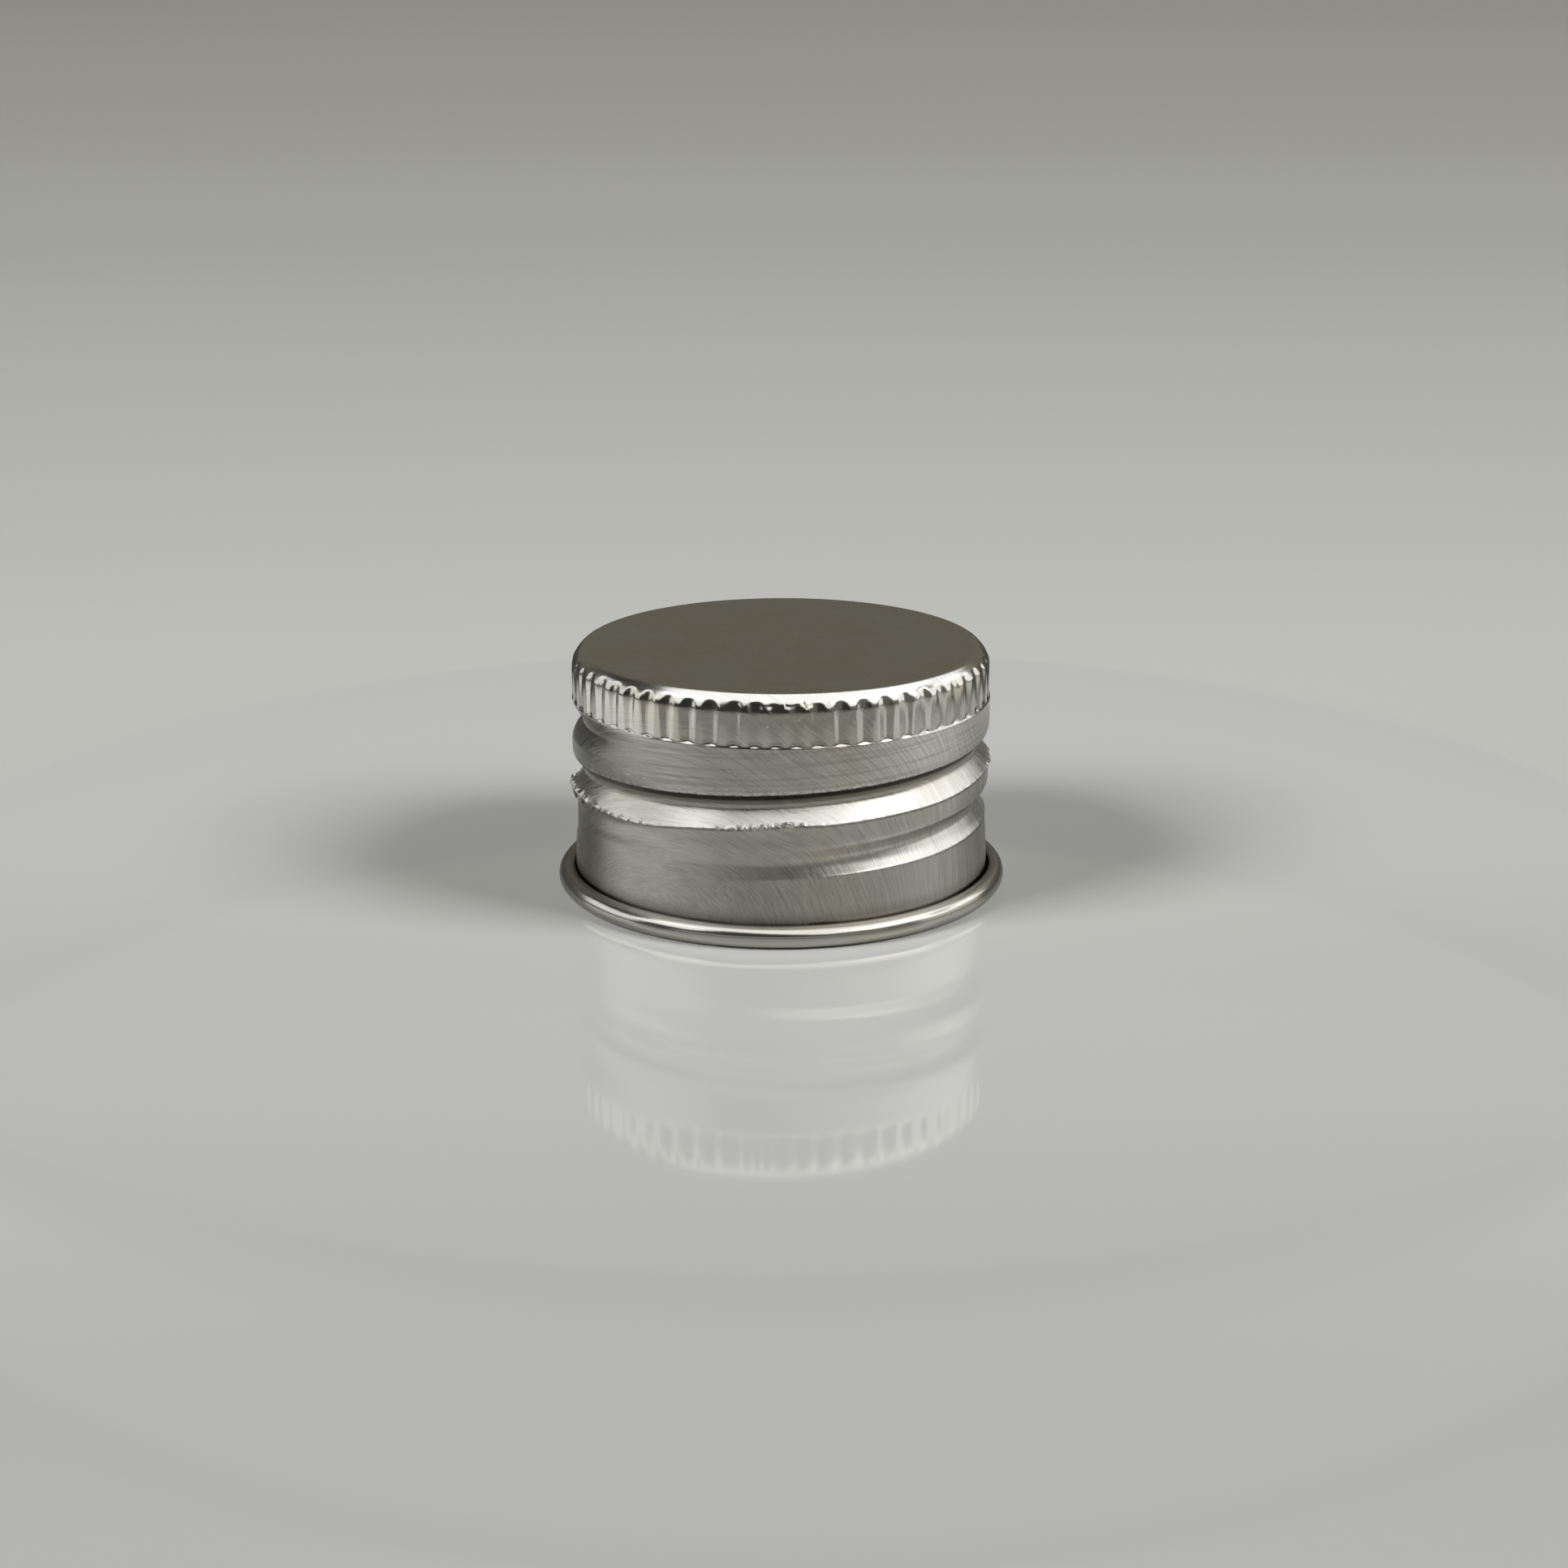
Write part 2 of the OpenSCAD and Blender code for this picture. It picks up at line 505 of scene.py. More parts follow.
@dataclass(frozen=True)
class Seam:
    """Where the fluting tool met its own start: worn flutes, whose arches are torn rough."""

    wear: Stretch = Stretch(2, 11, 0.25)
    # Under the shoulder the ribs are pressed flat
    press: Stretch = Stretch(-1, 12, 0.45)
    press_z: float = 13.45
    press_over: float = 0.55
    tear: Stretch = Stretch(2, 18, 0.10)
    tear_z: float = 13.7
    tear_over: float = 0.3
    tear_end: float = 0.25
    tear_least: float = -0.10
    rough: Ripples = Ripples(Ripple(0.24, 17.0), Ripple(0.11, 4.0))

    def flatness(self, azimuth: float, z: float) -> float:
        """Returns how far the ribs are pressed flat at a point, from 0 to 1."""
        return self.press.at(azimuth) * ease((z - self.press_z) / self.press_over)

    def torn(self, azimuth: float, radius: float, z: float, top_z: float) -> float:
        """Works out how deep the arches are torn in.

        Args:
            azimuth: Azimuth of the point.
            radius: Radius of the ribs.
            z: Height of the point.
            top_z: Height of the top.

        Returns:
            The way in, below 0 where the sheet stands out.
        """
        here = ease((z - self.tear_z) / self.tear_over) * ease((top_z - z) / self.tear_end)
        return self.tear.at(azimuth) * here * max(self.rough.at(azimuth, radius, z), self.tear_least)


@dataclass(frozen=True)
class Slit:
    """The slit between the curl's cut edge and the skirt, and where it gapes."""

    width: float = 0.03
    least: float = 0.012
    gapes: tuple[Stretch, ...] = (
        Stretch(-80, 36, 0.17), Stretch(11, 6, 0.05), Stretch(80, 32, 0.17), Stretch(170, 60, 0.05),
    )
    wobble: float = 0.02
    wave: Ripples = Ripples(Ripple(2.2, 5.0), Ripple(0.5, 8.0))
    # A closed slit has this share of the painted shade of a wide one, which is full from this gape on
    closed_shade: float = 0.4
    wide: float = 0.1

    def at(self, azimuth: float, radius: float) -> float:
        """Returns the slit's width at an azimuth, on a skirt of that radius."""
        wobble = self.wobble * self.wave.at(azimuth, radius, 0)
        return max(self.width + total(self.gapes, azimuth) + wobble, self.least)

    def shade(self, azimuth: float) -> float:
        """Returns the share of painted shade in the slit at an azimuth, from 0 to 1."""
        return blend(self.closed_shade, 1, clamp(total(self.gapes, azimuth) / self.wide))


@dataclass(frozen=True)
class CapForm:
    """The whole cap's form: where the outside and the inside of its sheet lie."""

    top_z: float
    curl_outer: float
    sheet: float = 0.25
    grip_r: float = 12.25
    grip_z: float = 11.55
    ledge_z: float = 11.50
    shoulder_r: float = 0.80
    shoulder_h: float = 0.90
    # Fullness of the shoulder's arc, where 2 is a quarter of an ellipse and 1 a straight chamfer
    shoulder_fullness: float = 1.5
    land_step: float = 0.05
    skirt_step: float = 0.05
    waist_step: float = 0.17
    waist_z: float = 4.6
    land_z: float = 6.0
    skirt_z: float = 1.9
    # The wall is tucked in under the groove's lip, over a height and down to a reach
    tuck: Stretch = Stretch(-98, 95, 0.26)
    tuck_over: float = 0.55
    tuck_reach: float = 3.0
    # Under a sharp lip it has a small step too
    lip_step: float = 0.05
    lip_step_over: float = 0.08
    lip_step_reach: float = 1.5
    columns: Columns = Columns()
    groove: Groove = Groove()
    band: GripBand = GripBand()
    seam: Seam = Seam()
    slit: Slit = Slit()

    @property
    def land_r(self) -> float:
        """Outside radius of the wall between the thread's turns."""
        return self.grip_r + self.land_step

    @property
    def skirt_r(self) -> float:
        """Outside radius of the skirt over the curl."""
        return self.grip_r - self.skirt_step

    @property
    def disc_r(self) -> float:
        """Radius at which the flat top ends."""
        return self.grip_r - self.shoulder_r

    @property
    def curl_r(self) -> float:
        """Radius of the tube that the curl forms."""
        return (self.curl_outer - self.skirt_r + self.sheet) / 2

    @property
    def curl_x(self) -> float:
        """Radius of the curl's own centre line."""
        return self.curl_outer - self.curl_r

    @property
    def flute_width(self) -> float:
        """Distance from one flute to the next along the ribs."""
        return 2 * math.pi * self.grip_r / self.columns.flutes

    def wall_r(self, z: float) -> float:
        """Works out the wall's outside radius before the thread is rolled in.

        Args:
            z: Height.

        Returns:
            The radius.
        """
        line = (
            (self.skirt_z, self.skirt_r),
            (self.waist_z, self.grip_r - self.waist_step),
            (self.land_z, self.land_r),
            (self.ledge_z, self.land_r),
            (self.grip_z, self.grip_r),
        )
        return along(line, z)

    def shoulder_radius(self, z: float, inset: float = 0.0) -> float:
        """Works out the radius of the grip band and the shoulder.

        Args:
            z: Height.
            inset: How far inside the outside the surface lies.

        Returns:
            The radius, before the flutes are pressed in.
        """
        rise = clamp((z - self.top_z + self.shoulder_h) / (self.shoulder_h - inset))
        fullness = self.shoulder_fullness
        return self.disc_r + (self.shoulder_r - inset) * (1 - rise**fullness) ** (1 / fullness)

    def rolled_depth(self, offsets: dict[float, float]) -> float:
        """Returns how deep the thread is rolled in at a point.

        Args:
            offsets: The point's height over the groove's root, for each turn's own angle.

        Returns:
            The depth of the deepest turn there.
        """
        groove = self.groove
        depths = (groove.presence(a) * groove.depth * groove.share(o, a) for a, o in offsets.items())
        return max(depths, default=0.0)

    def outside(self, azimuth: float, z: float, offsets: dict[float, float]) -> tuple[float, float]:
        """Places a point of the wall's outside.

        Args:
            azimuth: Real azimuth of the point.
            z: Height of the point before the lip wanders.
            offsets: The point's height over the groove's root, for each turn's own angle.

        Returns:
            Its radius and its height.
        """
        groove = self.groove
        radius, lift = self.wall_r(z), 0.0
        for angle, offset in offsets.items():
            hard = groove.hardness(angle) * groove.presence(angle)
            lift += groove.wander(offset, angle)
            below = groove.lip - offset
            if 0 < below < self.tuck_reach:
                step = ease(below / self.lip_step_over) * ease(self.lip_step_reach - below)
                tuck = self.tuck.at(angle) * ease(below / self.tuck_over) + self.lip_step * hard * step
                radius = min(radius, self.land_r - tuck)
            out, up = groove.torn.push((azimuth, self.land_r, z), groove.root_z(angle), -below, angle)
            radius += hard * out
            lift += hard * up
        return radius - self.rolled_depth(offsets), z + lift


# ---------------------------------------------------------------- shell mesh


def grid_of(columns: int, rows: int) -> bmesh.types.BMesh:
    """Makes a flat grid whose vertices lie at whole numbers.

    Args:
        columns: Faces along x.
        rows: Faces along y.

    Returns:
        The grid, where x counts columns and y counts rows.
    """
    bm = bmesh.new()
    bmesh.ops.create_grid(bm, x_segments=columns, y_segments=rows, size=0.5)
    for vert in bm.verts:
        vert.co = Vector((round((vert.co.x + 0.5) * columns), round((vert.co.y + 0.5) * rows), 0))
    return bm


def join(target: bmesh.types.BMesh, part: bmesh.types.BMesh) -> None:
    """Adds one mesh to another and frees it.

    Args:
        target: The mesh that grows.
        part: The mesh that is added.
    """
    carrier = bpy.data.meshes.new("carrier")
    part.to_mesh(carrier)
    part.free()
    target.from_mesh(carrier)
    bpy.data.meshes.remove(carrier)


def object_from(bm: bmesh.types.BMesh, name: str, finish: bpy.types.Material) -> bpy.types.Object:
    """Makes a smooth-shaded object at the origin, and frees its bmesh.

    Args:
        bm: The mesh, in metres.
        name: The object's name.
        finish: Its material.

    Returns:
        The object.
    """
    mesh = bpy.data.meshes.new(name)
    bm.to_mesh(mesh)
    bm.free()
    mesh.shade_smooth()
    mesh.materials.append(finish)
    made = bpy.data.objects.new(name, mesh)
    bpy.context.scene.collection.objects.link(made)
    return made


@dataclass(frozen=True)
class ShellMesh:
    """Builds the shell's sheet as one closed mesh."""

    form: CapForm
    # Heights where the rows turn from level to the thread's slope, outside and inside
    wall_low: float = 3.5
    wall_high: float = 11.45
    inner_low: float = 3.3
    inner_high: float = 11.2
    # Near those heights the rows of the outside are held level
    level_over: float = 0.3
    # Turns of the strip that the helical walls are cut from
    strip_turns: int = 4
    # How close points are that are merged, that lie on one column or one ring, or that a plane cuts,
    # and by how much of a flute a column may miss its own
    merge: float = 0.004
    on_column: float = 0.01
    near: float = 0.001
    cut_reach: float = 1e-5
    slack: float = 1e-6
    # The inside and the curl have one column for this many of the outside's
    inner_share: int = 2
    hollow_rows: int = 6
    round_rows: int = 20
    # Rings of the flat discs: their distances inside the shoulder, and the radii of the middle ones
    top_steps: tuple[float, ...] = (0.2, 0.7)
    under_steps: tuple[float, ...] = (0.5,)
    middle_rings: tuple[float, ...] = (7.5, 3.8)
    disc_columns: int = 171
    skirt_rows: tuple[float, ...] = (3.5, 3.1, 2.7, 2.3, 1.9, 1.6, 1.42, 1.28, 1.15)
    inner_skirt_rows: tuple[float, ...] = (1.2, 1.9, 2.6, 3.3)
    inner_rows: tuple[float, ...] = (
        -1.75, -1.45, -1.20, -1.02, -0.78, -0.50, -0.24, -0.02, 0.2, 0.45, 0.72, 0.98, 1.425,
    )
    grip_rows: tuple[float, ...] = (
        11.45, 11.50, 11.55, 11.585, 11.62, 11.66, 11.72, 11.90, 12.3, 12.8, 13.25, 13.50, 13.62, 13.70,
        13.78, 13.85, 13.91, 13.97, 14.02, 14.07, 14.12, 14.17, 14.22, 14.27, 14.32, 14.37, 14.41, 14.44,
    )
    inner_grip_rows: tuple[float, ...] = (
        11.2, 11.22, 11.30, 11.36, 11.45, 11.9, 12.6, 13.2, 13.6, 13.75, 13.88, 13.98, 14.06, 14.13, 14.17,
    )
    # Painted shade: the slit is painted dark up to the row with this number, over a height,
    # and so is the curl's hollow
    slit_row: int = -3
    slit_over: float = 0.16
    slit_reach: float = 0.1
    curl_shade: float = 0.9
    # A point deeper in the sheet than this share of it lies on its inside
    inside_share: float = 0.6

    @property
    def inner_count(self) -> int:
        """Columns in the inside of the shell and in the curl."""
        return self.form.columns.count // self.inner_share

    def rim(self, bm: bmesh.types.BMesh, z: float) -> list[bmesh.types.BMEdge]:
        """Returns the open edges that lie at a height."""
        return [e for e in bm.edges if e.is_boundary and all(abs(v.co.z - z) < self.merge for v in e.verts)]

    def tube(self, columns: int, rows: Sequence[float], radii: Sequence[float]) -> bmesh.types.BMesh:
        """Builds an upright tube with evenly spaced columns.

        Args:
            columns: Columns round it.
            rows: Heights of its rows.
            radii: Radius of each row.

        Returns:
            The tube, open at both ends.
        """
        bm = grid_of(columns, len(rows) - 1)
        for vert in bm.verts:
            angle = self.form.columns.first_flute + vert.co.x * TURN / columns
            row = round(vert.co.y)
            vert.co = on_ring(angle, radii[row], rows[row])
        bmesh.ops.remove_doubles(bm, verts=bm.verts, dist=self.merge)
        return bm

    def helical_wall(
        self, columns: int, rows: Sequence[float], low: float, high: float
    ) -> bmesh.types.BMesh:
        """Winds a strip one pitch tall round the axis, joins its turns and trims it level.

        Args:
            columns: Columns in one turn.
            rows: Heights of its rows from the groove's root.
            low: Height of the lower trim.
            high: Height of the upper trim.

        Returns:
            The wall as a tube of even radius, whose rows follow the thread.
        """
        form = self.form
        first = form.columns.first_flute - TURN * self.strip_turns / 2
        bm = grid_of(columns * self.strip_turns, len(rows) - 1)
        for vert in bm.verts:
            angle = first + vert.co.x * TURN / columns
            height = form.groove.root_z(angle) + rows[round(vert.co.y)]
            vert.co = on_ring(angle, form.land_r, height)
        bmesh.ops.remove_doubles(bm, verts=bm.verts, dist=self.merge)
        for z, above in ((low, False), (high, True)):
            bmesh.ops.bisect_plane(
                bm,
                geom=[*bm.verts, *bm.edges, *bm.faces],
                dist=self.cut_reach,
                plane_co=(0, 0, z),
                plane_no=(0, 0, 1),
                clear_outer=above,
                clear_inner=not above,
            )
        for z in (low, high):
            self.tidy_rim(bm, z, columns)
        return bm

    def tidy_rim(self, bm: bmesh.types.BMesh, z: float, columns: int) -> None:
        """Moves the odd points of a trimmed rim onto the columns, so that the rim has one for each.

        Args:
            bm: The trimmed wall.
            z: Height of the rim.
            columns: Columns in one turn.
        """
        first = self.form.columns.first_flute
        rim = dict.fromkeys(v for e in self.rim(bm, z) for v in e.verts)
        column_of = {v: (azimuth_of(v.co) - first) * columns / TURN for v in rim}
        kept = {round(c) % columns: v for v, c in column_of.items() if abs(c - round(c)) < self.on_column}
        stay = set(kept.values())
        odd = {v: kept[round(c) % columns] for v, c in column_of.items() if v not in stay}
        bmesh.ops.weld_verts(bm, targetmap=odd)
        for edge in self.rim(bm, z):
            for vert in edge.verts:
                vert.co.z = z

    def add_disc(self, bm: bmesh.types.BMesh, z: float, radii: Sequence[float], columns: int) -> None:
        """Closes a tube's rim at a height with a flat disc of rings and a fan in the middle.

        Args:
            bm: The tube.
            z: Height of the rim and the disc.
            radii: Radii of the disc's rings, from the rim inward. The first keeps every column.
            columns: Columns in the rim.
        """
        start = math.radians(self.form.columns.first_flute) - math.pi / 2
        place = Matrix.Translation((0, 0, z)) @ Matrix.Rotation(start, 4, "Z")
        outer = self.rim(bm, z)
        for radius in radii:
            count = columns if radius == radii[0] else self.disc_columns
            last = radius == radii[-1]
            made = bmesh.ops.create_circle(bm, segments=count, radius=radius, cap_ends=last, cap_tris=True)
            bmesh.ops.transform(bm, matrix=place, verts=made["verts"])
            edges = dict.fromkeys(e for v in made["verts"] for e in v.link_edges)
            ring = [e for e in edges if all(abs(v.co.xy.length - radius) < self.near for v in e.verts)]
            bmesh.ops.bridge_loops(bm, edges=[*outer, *ring])
            outer = ring

    def crown(self) -> bmesh.types.BMesh:
        """Builds the grip band, the shoulder and the flat top, down to the wall's upper rim."""
        form, count = self.form, self.form.columns.count
        rows = [*self.grip_rows, form.top_z]
        radii = [form.land_r if z <= form.ledge_z else form.shoulder_radius(z) for z in rows]
        bm = self.tube(count, rows, radii)
        rings = [form.disc_r - step for step in self.top_steps]
        self.add_disc(bm, form.top_z, [*rings, *self.middle_rings], count)
        return bm

    def outside_mesh(self) -> bmesh.types.BMesh:
        """Builds the whole outside of the sheet, from the middle of the top to the skirt's foot."""
        form, count, rows = self.form, self.form.columns.count, self.skirt_rows
        bm = self.helical_wall(count, form.groove.rows, self.wall_low, self.wall_high)
        for part in (self.crown(), self.tube(count, rows, [form.land_r] * len(rows))):
            join(bm, part)
        bmesh.ops.remove_doubles(bm, verts=bm.verts, dist=self.merge)
        for vert in bm.verts:
            even, radius, z = azimuth_of(vert.co), vert.co.xy.length, vert.co.z
            if z < form.grip_z:
                vert.co = self.wall_point(even, z)
            elif radius < form.disc_r - self.near:
                vert.co = on_ring(form.columns.real_azimuth(even), radius, z)
            else:
                vert.co = self.grip_point(even, z)
        return bm

    def wall_point(self, even: float, z: float) -> Vector:
        """Places a point of the outside under the grip band.

        Args:
            even: Azimuth of its column, had all flutes the same width.
            z: Height on the even tube.

        Returns:
            The point.
        """
        form, groove = self.form, self.form.groove
        azimuth = form.columns.real_azimuth(even)
        offsets = {a + azimuth - even: z - groove.root_z(a) for a in groove.turns(even)}
        shift = (azimuth - even) * groove.pitch / TURN
        free = ease((z - self.wall_low) / self.level_over) * ease((self.wall_high - z) / self.level_over)
        radius, height = form.outside(azimuth, z, offsets)
        return on_ring(azimuth, radius, height + shift * free)

    def grip_point(self, even: float, z: float) -> Vector:
        """Places a point of the grip band or the shoulder.

        Args:
            even: Azimuth of its column, had all flutes and all columns the same width.
            z: Height.

        Returns:
            The point.
        """
        form, columns, band, seam = self.form, self.form.columns, self.form.band, self.form.seam
        step = (even - columns.first_flute) / columns.pitch
        index = math.floor(step + self.slack)
        across = band.across(step - index)
        azimuth = columns.real_azimuth(columns.first_flute + (index + across) * columns.pitch)
        nearest = index if across < 0.5 else index + 1
        middle = columns.real_azimuth(columns.first_flute + (nearest % columns.flutes) * columns.pitch)
        flat = seam.flatness(azimuth, z)
        wear = blend(1 - seam.wear.at(azimuth) - band.shallow(middle), 1, flat)
        aside = (index + across - nearest) * form.flute_width * (1 - flat)
        radius = form.shoulder_radius(z) - band.rib_depth(z, form.top_z)
        pressed = band.press(aside, z, form.grip_r - radius, wear)
        return on_ring(azimuth, radius - pressed - seam.torn(azimuth, form.grip_r, z, form.top_z), z)

    def curl(self) -> bmesh.types.BMesh:
        """Builds the curl: the sheet's outside down in its hollow, the cut edge, and the round outside."""
        form, count, hollow = self.form, self.inner_count, self.hollow_rows
        bm = grid_of(count, hollow + self.round_rows + 1)
        for vert in bm.verts:
            azimuth = form.columns.real_azimuth(form.columns.first_flute + vert.co.x * TURN / count)
            row = round(vert.co.y)
            reach = form.skirt_r + form.slit.at(azimuth, form.skirt_r) - form.curl_x
            edge = math.acos(reach / form.curl_r)
            if row <= hollow:
                turn, radius = blend(-math.pi, edge, row / hollow), form.curl_r - form.sheet
            else:
                turn, radius = blend(edge, -math.pi, (row - hollow - 1) / self.round_rows), form.curl_r
            place = radius * math.cos(turn), radius * math.sin(turn)
            vert.co = on_ring(azimuth, form.curl_x + place[0], form.curl_r + place[1])
        bmesh.ops.remove_doubles(bm, verts=bm.verts, dist=self.merge)
        return bm

    def inside_mesh(self) -> bmesh.types.BMesh:
        """Builds the inside of the sheet, from the curl up to the underside of the top."""
        form, count = self.form, self.inner_count
        under_top = form.top_z - form.sheet
        bm = self.helical_wall(count, self.inner_rows, self.inner_low, self.inner_high)
        for rows in ((*self.inner_grip_rows, under_top), (form.curl_r, *self.inner_skirt_rows)):
            join(bm, self.tube(count, rows, [form.land_r] * len(rows)))
        bmesh.ops.remove_doubles(bm, verts=bm.verts, dist=self.merge)
        for vert in bm.verts:
            vert.co = self.inside_point(azimuth_of(vert.co), vert.co.z)
        rings = [form.disc_r - step for step in self.under_steps]
        self.add_disc(bm, under_top, [*rings, *self.middle_rings], count)
        return bm

    def inside_point(self, even: float, z: float) -> Vector:
        """Places a point of the sheet's inside.

        Args:
            even: Azimuth of its column, had all flutes the same width.
            z: Height.

        Returns:
            The point.
        """
        form, columns, groove = self.form, self.form.columns, self.form.groove
        azimuth = columns.real_azimuth(even)
        if z < form.ledge_z - form.sheet:
            offsets = {a + azimuth - even: z - groove.root_z(a) for a in groove.turns(even)}
            return on_ring(azimuth, form.wall_r(z) - form.sheet - form.rolled_depth(offsets), z)
        step = (even - columns.first_flute) / columns.pitch
        radius = form.shoulder_radius(z, form.sheet)
        under = form.grip_r - form.sheet - radius
        pressed = form.band.press((step - round(step)) * form.flute_width, z + form.sheet, under, 1)
        return on_ring(azimuth, radius - pressed, z)

    def build(self) -> bmesh.types.BMesh:
        """Builds the closed shell, in metres."""
        form = self.form
        bm = self.outside_mesh()
        join(bm, self.curl())
        inner = form.skirt_r - self.slit_reach
        hollow_rim = [e for e in self.rim(bm, form.curl_r) if e.verts[0].co.xy.length > inner]
        bmesh.ops.bridge_loops(bm, edges=[*self.rim(bm, self.skirt_rows[-1]), *hollow_rim])
        join(bm, self.inside_mesh())
        bmesh.ops.remove_doubles(bm, verts=bm.verts, dist=self.merge)
        bmesh.ops.recalc_face_normals(bm, faces=bm.faces)
        bmesh.ops.scale(bm, vec=(MM, MM, MM), verts=bm.verts)
        return bm

    def thread_spots(self, place: Vector) -> list[tuple[float, float]]:
        """Finds what the groove is like at a finished point.

        Args:
            place: The point.

        Returns:
            The groove's own angle and the height over its root, for each turn near the point. Points
            of the inside and points off the wall have none.
        """
        form, groove = self.form, self.form.groove
        inner = form.land_r - groove.depth - self.inside_share * form.sheet
        if not self.wall_low < place.z < self.wall_high or place.xy.length <= inner:
            return []
        return [(a, groove.even_offset(place.z, a)) for a in groove.turns(azimuth_of(place))]

    def slit_shade(self, place: Vector) -> float:
        """Works out the painted shade of a finished point that lies in the slit or in the curl.

        Args:
            place: The point.

        Returns:
            The shade, from 0 to 1, and 0 everywhere else.
        """
        form, radius, low = self.form, place.xy.length, self.skirt_rows[self.slit_row]
        if abs(radius - form.skirt_r) < self.slit_reach and place.z < low:
            return form.slit.shade(azimuth_of(place)) * ease((low - place.z) / self.slit_over)
        tube = form.curl_r - self.inside_share * form.sheet
        in_curl = math.hypot(radius - form.curl_x, place.z - form.curl_r) < tube
        return self.curl_shade if in_curl and radius > form.skirt_r - self.slit_reach else 0.0

    def paint(self, mesh: bpy.types.Mesh) -> None:
        """Gives each vertex its marks: painted shade in thread and slit, edge wear, and painted highlight.

        Args:
            mesh: The finished shell, in metres.
        """
        groove = self.form.groove
        places = [vert.co / MM for vert in mesh.vertices]
        spots = [self.thread_spots(place) for place in places]
        for mark in groove.marks:
            values = [self.slit_shade(place) if mark.in_slit else 0.0 for place in places]
            for number, turns in enumerate(spots):
                shares = [groove.presence(a) ** mark.power * along(mark.shares, o) for a, o in turns]
                values[number] = max([values[number], *shares])
            mesh.attributes.new(mark.name, "FLOAT", "POINT").data.foreach_set("value", values)


# ---------------------------------------------------------------- shader graph


def math_method(operation: str, swapped: bool = False) -> Callable[..., "Value"]:
    """Makes a method that adds a Math node.

    Args:
        operation: What the node works out.
        swapped: Whether the value itself comes last.

    Returns:
        The method, which takes the other terms.
    """

    def method(value: "Value", *others: "Value | float") -> "Value":
        """Adds the node.

        Args:
            value: The value whose method this is.
            *others: The other terms.

        Returns:
            What the node works out.
        """
        terms = (*others, value) if swapped else (value, *others)
        node = value.graph.add("ShaderNodeMath", {"operation": operation}, dict(enumerate(terms)))
        return Value(value.graph, node.outputs[0])

    return method


class Value:
    """A number that a shader works out, which takes part in Python sums."""

    __add__ = math_method("ADD")
    __radd__ = math_method("ADD", swapped=True)
    __sub__ = math_method("SUBTRACT")
    __rsub__ = math_method("SUBTRACT", swapped=True)
    __mul__ = math_method("MULTIPLY")
    __rmul__ = math_method("MULTIPLY", swapped=True)
    __abs__ = math_method("ABSOLUTE")
    root = math_method("SQRT")
    # The angle whose tangent is self / other, in radians
    angle_from = math_method("ARCTAN2")

    def __init__(self, graph: "Graph", socket: bpy.types.NodeSocket) -> None:
        """Wraps a node's output socket."""
        self.graph = graph
        self.socket = socket

    def swing(self) -> "Value":
        """Returns it less a half, so that a grain swings evenly round 0."""
        return self - 0.5

    def rise(self, low: float, high: float) -> "Value":
        """Makes a smooth step of the value.

        Args:
            low: Where the step starts. It may be the larger of the two.
            high: Where the step ends.

        Returns:
            0 up to low, 1 from high on and a smooth rise between them.
        """
        settings = {"interpolation_type": "SMOOTHSTEP", "clamp": True}
        sockets = {"Value": self, "From Min": low, "From Max": high}
        node = self.graph.add("ShaderNodeMapRange", settings, sockets)
        return Value(self.graph, node.outputs["Result"])


class Graph:
    """The nodes of one material or world."""

    def __init__(self, tree: bpy.types.NodeTree) -> None:
        """Starts with an empty tree."""
        self.tree = tree
        tree.nodes.clear()

    def add(self, kind: str, settings: dict | None = None, sockets: dict | None = None) -> bpy.types.Node:
        """Adds a node.

        Args:
            kind: The node's type.
            settings: Its own settings, set first.
            sockets: Values or links for its inputs, by name or number.

        Returns:
            The node.
        """
        node = self.tree.nodes.new(kind)
        for name, value in (settings or {}).items():
            setattr(node, name, value)
        for name, value in (sockets or {}).items():
            self.feed(node.inputs[name], value)
        return node

    def feed(self, socket: bpy.types.NodeSocket, value: object) -> None:
        """Links a value or an output to an input, or sets the input to a constant.

        Args:
            socket: The input.
            value: A value, an output socket or a constant.
        """
        if isinstance(value, Value):
            self.tree.links.new(value.socket, socket)
        elif isinstance(value, bpy.types.NodeSocket):
            self.tree.links.new(value, socket)
        else:
            socket.default_value = value

    def millimetres(self) -> tuple[Value, Value, Value]:
        """Returns the place on the piece along X, Y and Z, in millimetres."""
        place = self.add("ShaderNodeTexCoord").outputs["Object"]
        scaled = self.add("ShaderNodeVectorMath", {"operation": "SCALE"}, {0: place, "Scale": 1 / MM})
        split = self.add("ShaderNodeSeparateXYZ", sockets={0: scaled.outputs[0]})
        return tuple(Value(self, socket) for socket in split.outputs)

    def attribute(self, name: str) -> Value:
        """Reads a number that the mesh carries at each vertex."""
        return Value(self, self.add("ShaderNodeAttribute", {"attribute_name": name}).outputs["Fac"])

    def mix_colour(self, share: Value | float, first: object, second: object) -> bpy.types.NodeSocket:
        """Mixes two colours."""
        sockets = dict(zip(MIX_INPUTS, (share, first, second)))
        return self.add("ShaderNodeMix", {"data_type": "RGBA"}, sockets).outputs[MIX_OUTPUT]

    def bump(self, height: Value, strength: float, distance: float) -> bpy.types.NodeSocket:
        """Turns a relief into a normal."""
        sockets = {"Height": height, "Strength": strength, "Distance": distance}
        return self.add("ShaderNodeBump", sockets=sockets).outputs[0]

    def surface(self, sockets: dict) -> None:
        """Ends a material with one Principled shader."""
        shader = self.add("ShaderNodeBsdfPrincipled", sockets=sockets)
        self.add("ShaderNodeOutputMaterial", sockets={"Surface": shader.outputs[0]})


